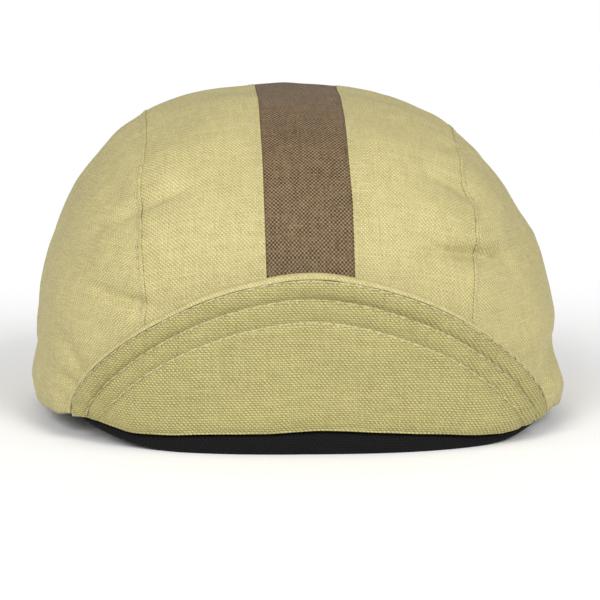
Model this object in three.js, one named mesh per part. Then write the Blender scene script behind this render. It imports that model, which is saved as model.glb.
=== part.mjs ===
// A three-panel linen cap with its peak turned up, standing on its rim as it does on a table.
// Lengths are millimetres and angles are degrees. X runs to the right as seen from the front,
// the front faces -Y and Z points up. The origin lies on the table, in the middle of the footprint.
import * as THREE from "three";

// Walls and clearances
const CLOTH = 1.6;
const SEAM_GAP = 0.3;
const STRIPE_SINK = 0.3;

// The dome is a fan of arches swung about the line from ear to ear, from the front edge over the top
// to the back edge. Each arch and the centre line are superellipses: a higher fullness is squarer.
const dome = {
  halfWidth: 88.6,
  height: 109.3,
  apexY: 9,
  front: { reach: 103, profileFullness: 2.5, planFullness: 2.6 },
  back: { reach: 93, profileFullness: 2.3, planFullness: 2.4 },
  shoulderFullness: { left: 2.64, right: 2.27 },
};
const headCentre = new THREE.Vector3(0, dome.apexY, 35);

// Where the seams and the stripe's edges cross each arch. turn: 0 at the front edge, 90 over the top,
// 180 at the back edge. The other columns are distances from the centre line.
const seams = [
  { turn: 0, left: 54.5, right: 54.5, stripe: 14.0 },
  { turn: 36, left: 53.8, right: 57.4, stripe: 14.3 },
  { turn: 46, left: 52.8, right: 59.2, stripe: 14.6 },
  { turn: 54, left: 51.8, right: 55.8, stripe: 14.8 },
  { turn: 72, left: 51.0, right: 55.0, stripe: 15.0 },
  { turn: 90, left: 49.5, right: 55.6, stripe: 15.0 },
  { turn: 135, left: 47.0, right: 50.5, stripe: 14.8 },
  { turn: 180, left: 42.0, right: 43.0, stripe: 14.4 },
];

// The lower edge, by the angle around the head from the front.
// crown and band: how high the cloth's edge and the sweatband's edge stand. flare: how far the cloth
// swells out above its edge. tuck: how far the edge itself is drawn in. gather: depth of the gathers.
// bead: share of the sweatband's rolled foot that shows under the peak.
// The pattern's middle lies HEM_SKEW to the right, because the cap sits slightly askew.
const hem = [
  { around: 0, crown: 7.6, band: 0, flare: 0, tuck: 0, gather: 0, bead: 1 },
  { around: 20, crown: 6.8, band: 0, flare: 0, tuck: 0, gather: 0, bead: 1 },
  { around: 31, crown: 5.5, band: 0, flare: 0, tuck: 0, gather: 0, bead: 1 },
  { around: 38, crown: 5.2, band: 0.6, flare: 0.1, tuck: 0, gather: 0, bead: 1 },
  { around: 48, crown: 6.0, band: 3.2, flare: 0.6, tuck: 0, gather: 0, bead: 0.9 },
  { around: 54, crown: 6.6, band: 4.7, flare: 1.5, tuck: 0, gather: 0, bead: 0.5 },
  { around: 60, crown: 6.6, band: 5.6, flare: 3.2, tuck: 0.1, gather: 0, bead: 0 },
  { around: 75, crown: 6.0, band: 5.6, flare: 2.4, tuck: 0.4, gather: 0, bead: 0 },
  { around: 100, crown: 4.8, band: 5.0, flare: 2.0, tuck: 1.2, gather: 0.2, bead: 0 },
  { around: 145, crown: 0.7, band: 0, flare: 1.6, tuck: 2.4, gather: 0.8, bead: 0 },
  { around: 180, crown: 0.7, band: 0, flare: 1.6, tuck: 2.8, gather: 0.9, bead: 0 },
];
const HEM_SKEW = 5;
const FLARE_AT_EDGE = 0.6;
const FLARE_PEAK = 6;
const FLARE_TOP = 24;
const TUCK_TOP = 12;
const GATHER_TOP = 30;
const GATHER_PITCH = 17;

// Soft folds, each a straight ridge (rise above 0) or valley (rise below 0) between two points seen
// from the front: x, and height above the table. They fade out behind the top of the head.
const folds = [
  { name: "left shoulder", x1: -66, z1: 88, x2: -26, z2: 103, rise: 1.4, width: 11 },
  { name: "right shoulder", x1: 26, z1: 103, x2: 64, z2: 90, rise: 1.2, width: 11 },
  { name: "right seam dip", x1: 38, z1: 84, x2: 62, z2: 78, rise: -1.4, width: 5 },
  { name: "right seam swell", x1: 40, z1: 76, x2: 66, z2: 68, rise: 1.1, width: 6 },
  { name: "right low dip", x1: 36, z1: 64, x2: 66, z2: 58, rise: -1.0, width: 6 },
  { name: "right flank swell", x1: 76, z1: 66, x2: 100, z2: 48, rise: 1.6, width: 14 },
  { name: "right pinch", x1: 74, z1: 24, x2: 100, z2: 20, rise: -2.2, width: 7 },
  { name: "left seam dip", x1: -62, z1: 72, x2: -36, z2: 84, rise: -1.2, width: 6 },
  { name: "left low dip", x1: -70, z1: 52, x2: -46, z2: 47, rise: -0.9, width: 6 },
  { name: "left flank swell", x1: -100, z1: 38, x2: -78, z2: 48, rise: 1.0, width: 10 },
  { name: "left pinch", x1: -100, z1: 27, x2: -72, z2: 18, rise: -1.6, width: 5 },
];
const FOLD_BACK = 34;
const FOLD_FADE = 26;

// The peak, turned up against the crown. Its rim is a full arch above the root.
const peak = {
  rootHalfWidth: { left: 75, right: 77.5 },
  rimHeight: 52.5,
  rimRoundness: 1.8,
  rimSteepness: 0.585,
  behind: 0.8,
  cover: 1.3,
  thickness: 3.15,
  lean: 5,
  rimWrap: 2.5,
  endInset: 0.985,
};

// Quilting on the peak's underside. inset: distance in from the rim. proud: how far it stands out.
const quilting = [
  { inset: 2.5, proud: 0 },
  { inset: 5.4, proud: 0.8 },
  { inset: 8.7, proud: -0.2 },
  { inset: 12, proud: 0.45 },
  { inset: 15.6, proud: -0.1 },
  { inset: 20, proud: 0.1 },
  { inset: 60, proud: 0 },
];

// How the cover rolls back towards its seam at the root. above: height over the root.
const rootRoll = [
  { above: 0, back: 0.9 },
  { above: 1.6, back: 0.25 },
  { above: 4, back: 0 },
];

// The sweatband lies inside the crown, and its foot rolls out under the peak.
const band = { wall: 1.5, clearance: 0.6, top: 32, taper: 3.0, beadOut: 3.5, undersewn: 0.35 };

const colours = {
  linen: new THREE.MeshStandardMaterial({ color: 0xd9cd95, roughness: 0.9, metalness: 0 }),
  linenUnder: new THREE.MeshStandardMaterial({ color: 0xbdb278, roughness: 0.92, metalness: 0 }),
  brown: new THREE.MeshStandardMaterial({ color: 0x806c52, roughness: 0.9, metalness: 0 }),
  black: new THREE.MeshStandardMaterial({ color: 0x1e1d1d, roughness: 0.85, metalness: 0 }),
};

const { atan2, cos, exp, hypot, sign, sin, sqrt, tan } = Math;
const radians = THREE.MathUtils.degToRad;
const degrees = THREE.MathUtils.radToDeg;
const smooth = (share) => THREE.MathUtils.smoothstep(share, 0, 1);

/** A superellipse's second coordinate where the first is `share` of its half axis. */
const arch = (share, fullness) => (1 - Math.min(Math.abs(share), 1) ** fullness) ** (1 / fullness);

/** Reads one column of a table between its rows, along a smooth curve that never overshoots. */
function read(table, key, at, column) {
  const last = table.length - 1;
  let row = 0;
  while (row < last - 1 && at > table[row + 1][key]) row += 1;
  const span = table[row + 1][key] - table[row][key];
  const share = THREE.MathUtils.clamp((at - table[row][key]) / span, 0, 1);
  const slope = (i) => (table[i + 1][column] - table[i][column]) / (table[i + 1][key] - table[i][key]);
  const tangent = (i) => {
    if (i === 0 || i === last) return 0;
    const before = slope(i - 1);
    const after = slope(i);
    return before * after <= 0 ? 0 : (2 * before * after) / (before + after);
  };
  const start = table[row][column];
  const end = table[row + 1][column];
  const bend = share * (1 - share) * span;
  return start + (end - start) * smooth(share)
    + bend * ((1 - share) * tangent(row) - share * tangent(row + 1));
}

const hemAt = (around, column) => read(hem, "around", around, column);
const seamAt = (turn, column) => read(seams, "turn", turn, column);
const aroundOf = (x, y) => degrees(atan2(Math.abs(x - HEM_SKEW), -y));

/** The fullness of the arch at a turn, on the side that x lies on. */
function archFullness(turn, x) {
  const half = turn < 90 ? dome.front : dome.back;
  const shoulder = x < 0 ? dome.shoulderFullness.left : dome.shoulderFullness.right;
  return THREE.MathUtils.lerp(half.planFullness, shoulder, sin(radians(turn)) ** 2);
}

/** Reach of the centre line from the ear line, at a turn. */
function centreReach(turn) {
  const half = turn < 90 ? dome.front : dome.back;
  const along = Math.abs(cos(radians(turn))) / half.reach;
  const up = Math.abs(sin(radians(turn))) / dome.height;
  return (along ** half.profileFullness + up ** half.profileFullness) ** (-1 / half.profileFullness);
}

/** How far the cloth stands out at a height above its edge, from the flare, the tuck and the gathers. */
function edgeOffset(around, above) {
  const swell = above < FLARE_PEAK
    ? THREE.MathUtils.lerp(FLARE_AT_EDGE, 1, smooth(above / FLARE_PEAK))
    : Math.max(0, (FLARE_TOP - above) / (FLARE_TOP - FLARE_PEAK));
  const tucked = 1 - smooth(above / TUCK_TOP);
  const arc = radians(180 - around) * dome.halfWidth;
  const ribs = cos((2 * Math.PI * arc) / GATHER_PITCH) * (1 - smooth(above / GATHER_TOP));
  return hemAt(around, "flare") * swell - hemAt(around, "tuck") * tucked + hemAt(around, "gather") * ribs;
}

/** The summed rise of the folds at a point. */
function foldRise(x, y, z) {
  const nearFront = smooth((FOLD_BACK - y) / FOLD_FADE);
  if (nearFront === 0) return 0;
  let rise = 0;
  for (const fold of folds) {
    const along = new THREE.Vector2(fold.x2 - fold.x1, fold.z2 - fold.z1);
    const from = new THREE.Vector2(x - fold.x1, z - fold.z1);
    const share = from.dot(along) / along.lengthSq();
    const aside = from.cross(along) / along.length();
    const ends = smooth(share * 3 + 0.5) * smooth((1 - share) * 3 + 0.5);
    rise += fold.rise * ends * exp(-((aside / fold.width) ** 2));
  }
  return rise * nearFront;
}

/** A point of the crown's outer surface: the arch at `turn`, at `share` of its reach, on one side. */
function crownPoint(turn, share, side) {
  const fullness = archFullness(turn, side);
  const half = turn < 90 ? dome.front : dome.back;
  const reach = share * centreReach(turn);
  const x = side * dome.halfWidth * arch(share, fullness);
  const y = dome.apexY - reach * cos(radians(turn));
  const z = reach * sin(radians(turn));
  const around = aroundOf(x, y);
  const outward = new THREE.Vector3(x / dome.halfWidth ** 2, (y - dome.apexY) / half.reach ** 2, 0);
  outward.normalize().multiplyScalar(edgeOffset(around, z));
  const edge = hemAt(around, "crown");
  const point = new THREE.Vector3(x, y, edge + z * (1 - edge / dome.height)).add(outward);
  const lift = point.clone().sub(headCentre).normalize();
  return point.addScaledVector(lift, foldRise(point.x, point.y, point.z));
}

/** The share of its reach at which an arch stands `across` from the centre line. */
const shareAcross = (turn, across) => arch(across / dome.halfWidth, archFullness(turn, across));

/** The centre of the crown by turn and distance across, for the strips between the side seams. */
const centreSurface = (turn, across) => crownPoint(turn, shareAcross(turn, across), across < 0 ? -1 : 1);

/** A side of the crown by two coordinates that run along and above the ear line. */
const sideSurface = (side) => (along, above) => {
  const turn = THREE.MathUtils.clamp(degrees(atan2(above, -along)), 0, 180);
  return crownPoint(turn, hypot(along, above), side);
};

/** A surface's unit normal by small steps, pointing away from the middle of the head. */
function outwardNormal(surface, a, b, step) {
  const alongA = surface(a + step, b).sub(surface(a - step, b));
  const alongB = surface(a, b + step).sub(surface(a, b - step));
  const normal = alongA.cross(alongB).normalize();
  return normal.dot(surface(a, b).sub(headCentre)) < 0 ? normal.negate() : normal;
}

/** Six times the volume inside closed triangles, negative where they face inwards. */
function signedVolume(points, faces) {
  return faces.reduce((sum, [a, b, c]) => sum + points[a].dot(points[b].clone().cross(points[c])), 0);
}

/** A closed solid from corner points and triangles, turned to face outwards. */
class SolidGeometry extends THREE.BufferGeometry {
  constructor(points, faces) {
    super();
    const inward = signedVolume(points, faces) < 0;
    const facing = inward ? faces.map(([a, b, c]) => [a, c, b]) : faces;
    this.setAttribute("position", new THREE.Float32BufferAttribute(points.flatMap((p) => p.toArray()), 3));
    this.setIndex(facing.flat());
    this.computeVertexNormals();
  }
}

/** Two triangles for a four-cornered patch, cut from its first corner or from its second. */
const patch = (a, b, c, d, fromSecond = false) =>
  fromSecond ? [[a, b, d], [b, c, d]] : [[a, b, c], [a, c, d]];

/** A wall of even thickness: a grid of outer points, the same grid set inwards, and the rim between. */
class ShellGeometry extends SolidGeometry {
  constructor(columns, rows, outerAndInner) {
    const points = [];
    for (let i = 0; i <= columns; i += 1) {
      for (let j = 0; j <= rows; j += 1) points.push(...outerAndInner(i / columns, j / rows));
    }
    const at = (i, j, inner) => 2 * (i * (rows + 1) + j) + inner;
    const faces = [];
    for (let i = 0; i < columns; i += 1) {
      for (let j = 0; j < rows; j += 1) {
        const mirrored = i >= columns / 2;
        faces.push(...patch(at(i, j, 0), at(i + 1, j, 0), at(i + 1, j + 1, 0), at(i, j + 1, 0), mirrored));
        faces.push(...patch(at(i, j + 1, 1), at(i + 1, j + 1, 1), at(i + 1, j, 1), at(i, j, 1), !mirrored));
      }
      faces.push(...patch(at(i, 0, 1), at(i + 1, 0, 1), at(i + 1, 0, 0), at(i, 0, 0)));
      faces.push(...patch(at(i, rows, 0), at(i + 1, rows, 0), at(i + 1, rows, 1), at(i, rows, 1)));
    }
    for (let j = 0; j < rows; j += 1) {
      faces.push(...patch(at(0, j, 0), at(0, j + 1, 0), at(0, j + 1, 1), at(0, j, 1)));
      faces.push(...patch(at(columns, j, 1), at(columns, j + 1, 1), at(columns, j + 1, 0), at(columns, j, 0)));
    }
    super(points, faces);
  }
}

/** A loft through sections of equally many points: a closed ring, or a bar whose end caps are zipped
 * across from each section's two ends to its middle. */
class LoftGeometry extends SolidGeometry {
  constructor(sections, isRing) {
    const size = sections[0].length;
    const faces = [];
    const steps = isRing ? sections.length : sections.length - 1;
    for (let i = 0; i < steps; i += 1) {
      const here = i * size;
      const next = ((i + 1) % sections.length) * size;
      for (let j = 0; j < size; j += 1) {
        const k = (j + 1) % size;
        faces.push(...patch(here + j, next + j, next + k, here + k));
      }
    }
    const far = (sections.length - 1) * size;
    for (let j = 0; !isRing && j < size / 2 - 1; j += 1) {
      faces.push(...patch(j, j + 1, size - 2 - j, size - 1 - j));
      faces.push(...patch(far + size - 1 - j, far + size - 2 - j, far + j + 1, far + j));
    }
    super(sections.flat(), faces);
  }
}

/** The middle of a square grid moved onto a half disc, so that no corner of a side panel pinches. */
function halfDisc(u, v) {
  const along = 2 * u - 1;
  return [along * sqrt(1 - (v * v) / 2), v * sqrt(1 - (along * along) / 2)];
}

const SIDE_COLUMNS = 30;
const SIDE_ROWS = 13;
const CENTRE_COLUMNS = 5;
const STRIPE_COLUMNS = 4;

/** Turns of the side panel's corners along its seam, which the strips share. */
const seamTurns = [
  ...Array.from({ length: SIDE_ROWS }, (_, j) => halfDisc(0, j / SIDE_ROWS)),
  ...Array.from({ length: SIDE_COLUMNS + 1 }, (_, i) => halfDisc(i / SIDE_COLUMNS, 1)),
  ...Array.from({ length: SIDE_ROWS }, (_, j) => halfDisc(1, (SIDE_ROWS - 1 - j) / SIDE_ROWS)),
].map(([along, above]) => degrees(atan2(above, -along)));

/** A D-shaped side panel, from the lower edge up to the arched seam. */
function sidePanel(side) {
  const seamColumn = side < 0 ? "left" : "right";
  const surface = sideSurface(side);
  return new ShellGeometry(SIDE_COLUMNS, SIDE_ROWS, (u, v) => {
    const [discAlong, discAbove] = halfDisc(u, v);
    const turn = degrees(atan2(discAbove, -discAlong));
    const scale = shareAcross(turn, side * (seamAt(turn, seamColumn) + SEAM_GAP / 2));
    const along = discAlong * scale;
    const above = discAbove * scale;
    const outer = surface(along, above);
    const normal = outwardNormal(surface, along, Math.max(above, 0.003), 0.002);
    return [outer, outer.clone().addScaledVector(normal, -CLOTH)];
  });
}

/** A strip of the centre panel, between two edges given as distances across by turn. */
function centreStrip(columns, leftEdge, rightEdge, sink = 0) {
  return new ShellGeometry(columns, seamTurns.length - 1, (u, v) => {
    const turn = seamTurns[Math.round(v * (seamTurns.length - 1))];
    const across = THREE.MathUtils.lerp(leftEdge(turn), rightEdge(turn), u);
    const surfacePoint = centreSurface(turn, across);
    const normal = outwardNormal(centreSurface, THREE.MathUtils.clamp(turn, 0.2, 179.8), across, 0.1);
    const outer = surfacePoint.addScaledVector(normal, -sink);
    return [outer, outer.clone().addScaledVector(normal, sink - CLOTH)];
  });
}

/** A point of the lower edge's plan, and the plan's outward direction, at a distance across. */
function frontPlan(x) {
  const { reach, planFullness } = dome.front;
  const planY = (at) => dome.apexY - reach * arch(at / dome.halfWidth, planFullness);
  const step = 0.05;
  const slope = (planY(x + step) - planY(x - step)) / (2 * step);
  return {
    point: new THREE.Vector3(x, planY(x), 0),
    outward: new THREE.Vector3(slope, -1, 0).normalize(),
    stretch: hypot(1, slope),
  };
}

const rootHalfWidth = (x) => (x < 0 ? peak.rootHalfWidth.left : peak.rootHalfWidth.right);

/** Height of the peak's rim over the root, at a distance across. */
const rimHeight = (x) => peak.rimHeight
  * (1 - Math.min(Math.abs(x) / rootHalfWidth(x), 1) ** peak.rimRoundness) ** peak.rimSteepness;

/** The place on the peak, as distance across and height, that lies `inset` in from the rim at x. */
function insetFromRim(x, inset) {
  const step = 0.05;
  const { stretch } = frontPlan(x);
  const slope = (rimHeight(x + step) - rimHeight(x - step)) / (2 * step * stretch);
  const steep = hypot(1, slope);
  return [x + (slope / steep) * (inset / stretch), rimHeight(x) - inset / steep];
}

/** A point on the peak: distance across, height over the root, and depth behind its front face. */
function peakPoint(x, above, depth) {
  const { point, outward } = frontPlan(x);
  const around = aroundOf(point.x, point.y);
  const stand = hemAt(around, "flare") + peak.behind + peak.thickness;
  point.addScaledVector(outward, stand - depth + above * tan(radians(peak.lean)));
  return point.setZ(hemAt(around, "crown") + above);
}

/** Where a column of the peak starts below the rim, and the rows down it to the root. */
function peakRow(u, v, inset) {
  const across = sin(radians(90 * (2 * u - 1)));
  const [x, above] = insetFromRim(rootHalfWidth(across) * peak.endInset * across, inset);
  return [x, above * (1 - v)];
}

/** The cover on the underside, which faces forward now that the peak is turned up. */
function peakUnderCover() {
  const inset = peak.rimWrap + SEAM_GAP;
  return new ShellGeometry(PEAK_COLUMNS, PEAK_ROWS, (u, v) => {
    const share = v ** 1.35;
    const [x, above] = peakRow(u, share, inset);
    const [, top] = peakRow(u, 0, inset);
    const fromRim = inset + (top - above) * RIM_SLANT(x);
    const proud = read(quilting, "inset", fromRim, "proud") - read(rootRoll, "above", above, "back");
    return [peakPoint(x, above, -proud), peakPoint(x, above, peak.cover)];
  });
}

const PEAK_COLUMNS = 30;
const PEAK_ROWS = 9;

/** How much nearer the rim is than straight up, where the rim slopes. */
function RIM_SLANT(x) {
  const { stretch } = frontPlan(x);
  return 1 / hypot(1, (rimHeight(x + 0.1) - rimHeight(x - 0.1)) / (0.2 * stretch));
}

/** The cover on the upper side, which wraps round the rim and shows as a narrow edge in front. */
function peakTopCover() {
  const inner = peak.thickness - peak.cover;
  const rimLoop = [
    { inset: 0.5, depth: peak.thickness },
    { inset: 0, depth: peak.thickness * 0.7 },
    { inset: 0, depth: peak.thickness * 0.3 },
    { inset: 0.5, depth: 0 },
    { inset: peak.rimWrap, depth: 0 },
    { inset: peak.rimWrap, depth: inner },
  ];
  const rows = Array.from({ length: PEAK_ROWS }, (_, j) => (j + 1) / PEAK_ROWS);
  const sections = Array.from({ length: PEAK_COLUMNS + 1 }, (_, i) => {
    const u = i / PEAK_COLUMNS;
    const body = (v, depth) => peakPoint(...peakRow(u, v, peak.rimWrap), depth);
    return [
      ...rows.toReversed().map((v) => body(v, peak.thickness)),
      ...rimLoop.map(({ inset, depth }) => peakPoint(...peakRow(u, 0, inset), depth)),
      ...rows.map((v) => body(v, inner)),
    ];
  });
  return new LoftGeometry(sections, false);
}

const BAND_STEPS = 72;

/** A point of the whole lower edge's plan, by its own parameter, with the outward direction. */
function edgePlan(turnAround) {
  const half = cos(turnAround) > 0 ? dome.front : dome.back;
  const x = dome.halfWidth * sign(sin(turnAround)) * Math.abs(sin(turnAround)) ** (2 / half.planFullness);
  const away = Math.abs(cos(turnAround)) ** (2 / half.planFullness);
  const y = dome.apexY - half.reach * sign(cos(turnAround)) * away;
  const outward = new THREE.Vector3(
    sign(x) * Math.abs(x / dome.halfWidth) ** (half.planFullness - 1) / dome.halfWidth,
    (sign(y - dome.apexY) * away ** (half.planFullness - 1)) / half.reach,
    0,
  ).normalize();
  return { point: new THREE.Vector3(x, y, 0), outward };
}

/** The black sweatband: a thin ring inside the crown whose foot rolls out under the peak. */
function sweatband() {
  const sections = Array.from({ length: BAND_STEPS }, (_, i) => {
    const { point, outward } = edgePlan((2 * Math.PI * (i + 0.5)) / BAND_STEPS);
    const around = aroundOf(point.x, point.y);
    const foot = hemAt(around, "band");
    const bead = hemAt(around, "bead") * band.beadOut;
    const shelf = Math.max(hemAt(around, "crown") - band.undersewn, foot + 1);
    const wallFace = (z) => -CLOTH - band.clearance - hemAt(around, "gather") - band.taper * (z / band.top)
      - hemAt(around, "tuck") * (1 - smooth((z - hemAt(around, "crown")) / TUCK_TOP));
    const outerFace = [
      [wallFace(band.top), band.top],
      [wallFace(TUCK_TOP + shelf), TUCK_TOP + shelf],
      [wallFace(shelf), shelf],
      [wallFace(shelf) + bead * 0.85, shelf - 0.15],
      [wallFace(foot) + bead, (shelf + foot) / 2],
      [wallFace(foot) + bead * 0.9 - 0.1, foot + 0.4],
      [wallFace(foot) + bead * 0.8 - 0.35, foot],
    ];
    const innerFace = [
      [wallFace(foot) - band.wall + 0.35, foot],
      [wallFace(foot) - band.wall, foot + 0.5],
      [wallFace(shelf + 1) - band.wall, shelf + 1],
      [wallFace(TUCK_TOP + shelf) - band.wall, TUCK_TOP + shelf],
      [wallFace(band.top) - band.wall, band.top],
    ];
    return [...outerFace, ...innerFace].map(([out, z]) => point.clone().addScaledVector(outward, out).setZ(z));
  });
  return new LoftGeometry(sections, true);
}

const edge = (column, side, inward) => (turn) => side * (seamAt(turn, column) + inward);
const halfGap = SEAM_GAP / 2;
const pieces = {
  side_panel_left: [sidePanel(-1), colours.linen],
  side_panel_right: [sidePanel(1), colours.linen],
  centre_strip_left: [
    centreStrip(CENTRE_COLUMNS, edge("left", -1, -halfGap), edge("stripe", -1, halfGap)),
    colours.linen,
  ],
  centre_strip_right: [
    centreStrip(CENTRE_COLUMNS, edge("stripe", 1, halfGap), edge("right", 1, -halfGap)),
    colours.linen,
  ],
  centre_stripe: [
    centreStrip(STRIPE_COLUMNS, edge("stripe", -1, -halfGap), edge("stripe", 1, -halfGap), STRIPE_SINK),
    colours.brown,
  ],
  peak_under_cover: [peakUnderCover(), colours.linenUnder],
  peak_top_cover: [peakTopCover(), colours.linen],
  sweatband: [sweatband(), colours.black],
};

const cap = new THREE.Group();
for (const [name, [geometry, material]] of Object.entries(pieces)) {
  const mesh = new THREE.Mesh(geometry, material);
  mesh.name = name;
  cap.add(mesh);
}

export default cap;
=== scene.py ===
"""Dresses a three-panel linen cap, its peak turned up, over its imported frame.

The crown, the peak and the sweatband are rebuilt as fine cloth from tables like those of the frame,
fitted closer to the photograph, and get their folds, puckers, rolled edges and stitches here. Sizes
are in millimetres, and only the finished meshes are in metres. Left and right are as seen from the
front, which faces -Y, and a seed starts each random draw.
"""

import logging
from dataclasses import dataclass, field
from enum import Enum

import bpy
import numpy as np
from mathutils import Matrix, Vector

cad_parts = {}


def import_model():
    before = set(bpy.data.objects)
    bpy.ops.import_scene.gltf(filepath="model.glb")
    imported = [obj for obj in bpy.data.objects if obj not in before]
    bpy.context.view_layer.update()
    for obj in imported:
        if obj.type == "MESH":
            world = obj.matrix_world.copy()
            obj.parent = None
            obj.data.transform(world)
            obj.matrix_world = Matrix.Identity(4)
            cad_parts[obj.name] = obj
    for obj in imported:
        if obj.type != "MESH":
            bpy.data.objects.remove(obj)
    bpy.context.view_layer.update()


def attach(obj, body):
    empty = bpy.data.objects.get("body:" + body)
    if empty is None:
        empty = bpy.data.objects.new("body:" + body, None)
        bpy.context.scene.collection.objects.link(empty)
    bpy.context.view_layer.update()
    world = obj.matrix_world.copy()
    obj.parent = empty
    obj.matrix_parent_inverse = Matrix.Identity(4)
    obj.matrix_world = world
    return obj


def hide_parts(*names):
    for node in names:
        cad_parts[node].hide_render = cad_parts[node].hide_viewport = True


log = logging.getLogger("cap")

MILLIMETRE = 0.001
HEAD_CENTRE = np.array([0.0, 9.0, 35.0])
SLOPE_STEP = 0.05
TINY = 1e-12

Array = np.ndarray
Pair = tuple[Array, Array]
Skin = tuple[Array, Array, Array]
Colour = tuple[float, float, float, float]
Number = "Value | float"
Term = "Value | float | Colour"
Material = bpy.types.Material
Socket = bpy.types.NodeSocket
Thing = bpy.types.Object
Made = tuple[Thing, tuple[str, ...], str]


# Sides, tables and small curves


class Option(Enum):
    """Options whose names also stand in the tables and in the names of pieces."""

    @property
    def word(self) -> str:
        """The option's name there."""
        return self.name.lower()


class Side(Option):
    """A side of the cap as seen from the front, with the sign of its X."""

    LEFT = -1
    RIGHT = 1


def smooth(share: Array) -> Array:
    """An S curve from 0 to 1."""
    share = np.clip(share, 0.0, 1.0)
    return share * share * (3.0 - 2.0 * share)


def bump(distance: Array, width: float) -> Array:
    """A bell of height 1 whose half width at 1/e is `width`."""
    return np.exp(-((distance / width) ** 2))


def plateau(distance: Array, width: float) -> Array:
    """1 up to almost `width`, and from there a short way down to 0."""
    return np.exp(-((np.maximum(distance, 0.0) / width) ** 6))


def travelled(points: Array) -> Array:
    """How far along its line each point lies.

    Args:
        points: Lines of points, the last axis but one running along each line.

    Returns:
        The length from each line's start to each of its points.
    """
    steps = np.linalg.norm(np.diff(points, axis=-2), axis=-1)
    return np.concatenate([np.zeros((*steps.shape[:-1], 1)), np.cumsum(steps, axis=-1)], axis=-1)


def arch(share: Array, fullness: Array) -> Array:
    """A superellipse's second coordinate where the first is `share` of its half axis."""
    return (1.0 - np.minimum(np.abs(share), 1.0) ** fullness) ** (1.0 / fullness)


class Table:
    """Named columns that are read between their rows along a smooth curve that never overshoots."""

    def __init__(self, columns: tuple[str, ...], rows: list[tuple[float, ...]]) -> None:
        """Keeps the rows and works out each column's slope at each row.

        Args:
            columns: The columns' names. The first is the one that the table is read by.
            rows: One tuple of numbers for each row, in rising order of the first.
        """
        values = np.array(rows, dtype=float)
        self.keys = values[:, 0]
        self.columns = {name: values[:, i] for i, name in enumerate(columns)}
        self.tangents = {name: self._tangents(column) for name, column in self.columns.items()}

    def _tangents(self, column: Array) -> Array:
        """The slope of one column's curve at each row.

        Args:
            column: The column's values.

        Returns:
            The harmonic mean of the slopes on each side of a row, and 0 at peaks and at the ends.
        """
        slope = np.diff(column) / np.diff(self.keys)
        before, after = slope[:-1], slope[1:]
        rising = before * after > 0
        total = np.where(rising, before + after, 1.0)
        inner = np.where(rising, 2.0 * before * after / total, 0.0)
        return np.concatenate([[0.0], inner, [0.0]])

    def read(self, column: str, where: Array) -> Array:
        """One column at each of `where`.

        Args:
            column: The column's name.
            where: Places along the first column.

        Returns:
            The column's values there, held at the ends of the table.
        """
        where = np.asarray(where, dtype=float)
        row = np.clip(np.searchsorted(self.keys, where, side="right") - 1, 0, len(self.keys) - 2)
        span = self.keys[row + 1] - self.keys[row]
        share = np.clip((where - self.keys[row]) / span, 0.0, 1.0)
        values, tangents = self.columns[column], self.tangents[column]
        bend = share * (1.0 - share) * span
        return (
            values[row]
            + (values[row + 1] - values[row]) * smooth(share)
            + bend * ((1.0 - share) * tangents[row] - share * tangents[row + 1])
        )


@dataclass(frozen=True)
class Unevenness:
    """Gentle unevenness made of a few waves in random directions, fixed by the seed."""

    wavelength: float
    depth: float
    seed: int
    waves: int = 14
    spread: tuple[float, float] = (0.7, 1.5)

    def at(self, points: Array) -> Array:
        """The rise of the cloth at places on it.

        Args:
            points: The places, with a last axis of 3.

        Returns:
            The rise at each, in millimetres.
        """
        random = np.random.default_rng(self.seed)
        direction = random.normal(size=(self.waves, 3))
        direction /= np.linalg.norm(direction, axis=1, keepdims=True)
        pitch = self.wavelength * random.uniform(*self.spread, self.waves)
        phase = random.uniform(0.0, 2.0 * np.pi, self.waves)
        total = np.zeros(points.shape[:-1])
        for k in range(self.waves):
            total += np.cos(points @ direction[k] * (2.0 * np.pi / pitch[k]) + phase[k])
        return self.depth * total / np.sqrt(self.waves / 2.0)


@dataclass(frozen=True)
class SeamWave:
    """A wave along a seam whose pitch and height wander. The other lengths are counted in pitches."""

    pitch: float
    seed: int
    drifts: int = 4
    drift_lengths: tuple[float, float] = (2.2, 6.0)
    drift: float = 1.3
    height: float = 0.6
    swing: float = 0.4
    swing_length: float = 4.3

    def at(self, along: Array) -> Array:
        """The wave's height at places along the seam.

        Args:
            along: Distances along the seam.

        Returns:
            The heights, between -1 and 1.
        """
        random = np.random.default_rng(self.seed)
        lengths = random.uniform(*self.drift_lengths, self.drifts) * self.pitch
        starts = random.uniform(0.0, 2.0 * np.pi, self.drifts)
        drift = sum(np.sin(2.0 * np.pi * along / length + start) for length, start in zip(lengths, starts))
        swing = np.sin(2.0 * np.pi * along / (self.swing_length * self.pitch) + starts[0])
        crests = np.cos(2.0 * np.pi * along / self.pitch + self.drift * drift)
        return (self.height + self.swing * swing) * crests


# The crown's form


@dataclass(frozen=True)
class Half:
    """The reach of one half of the crown from the ear line, and the fullness of its two curves."""

    reach: float
    profile_fullness: float
    plan_fullness: float


@dataclass(frozen=True)
class Run:
    """A straight run between two points of the crown seen from the front."""

    x1: float
    z1: float
    x2: float
    z2: float

    def along_and_above(self, x: Array, z: Array) -> Pair:
        """Places measured from the run.

        Args:
            x: The places' distances across.
            z: Their heights.

        Returns:
            The share of the run that each has passed, and how far above the run it lies.
        """
        run_x, run_z = self.x2 - self.x1, self.z2 - self.z1
        length = np.hypot(run_x, run_z)
        along = ((x - self.x1) * run_x + (z - self.z1) * run_z) / length**2
        above = ((z - self.z1) * run_x - (x - self.x1) * run_z) / length
        return along, above * np.copysign(1.0, run_x)


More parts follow.
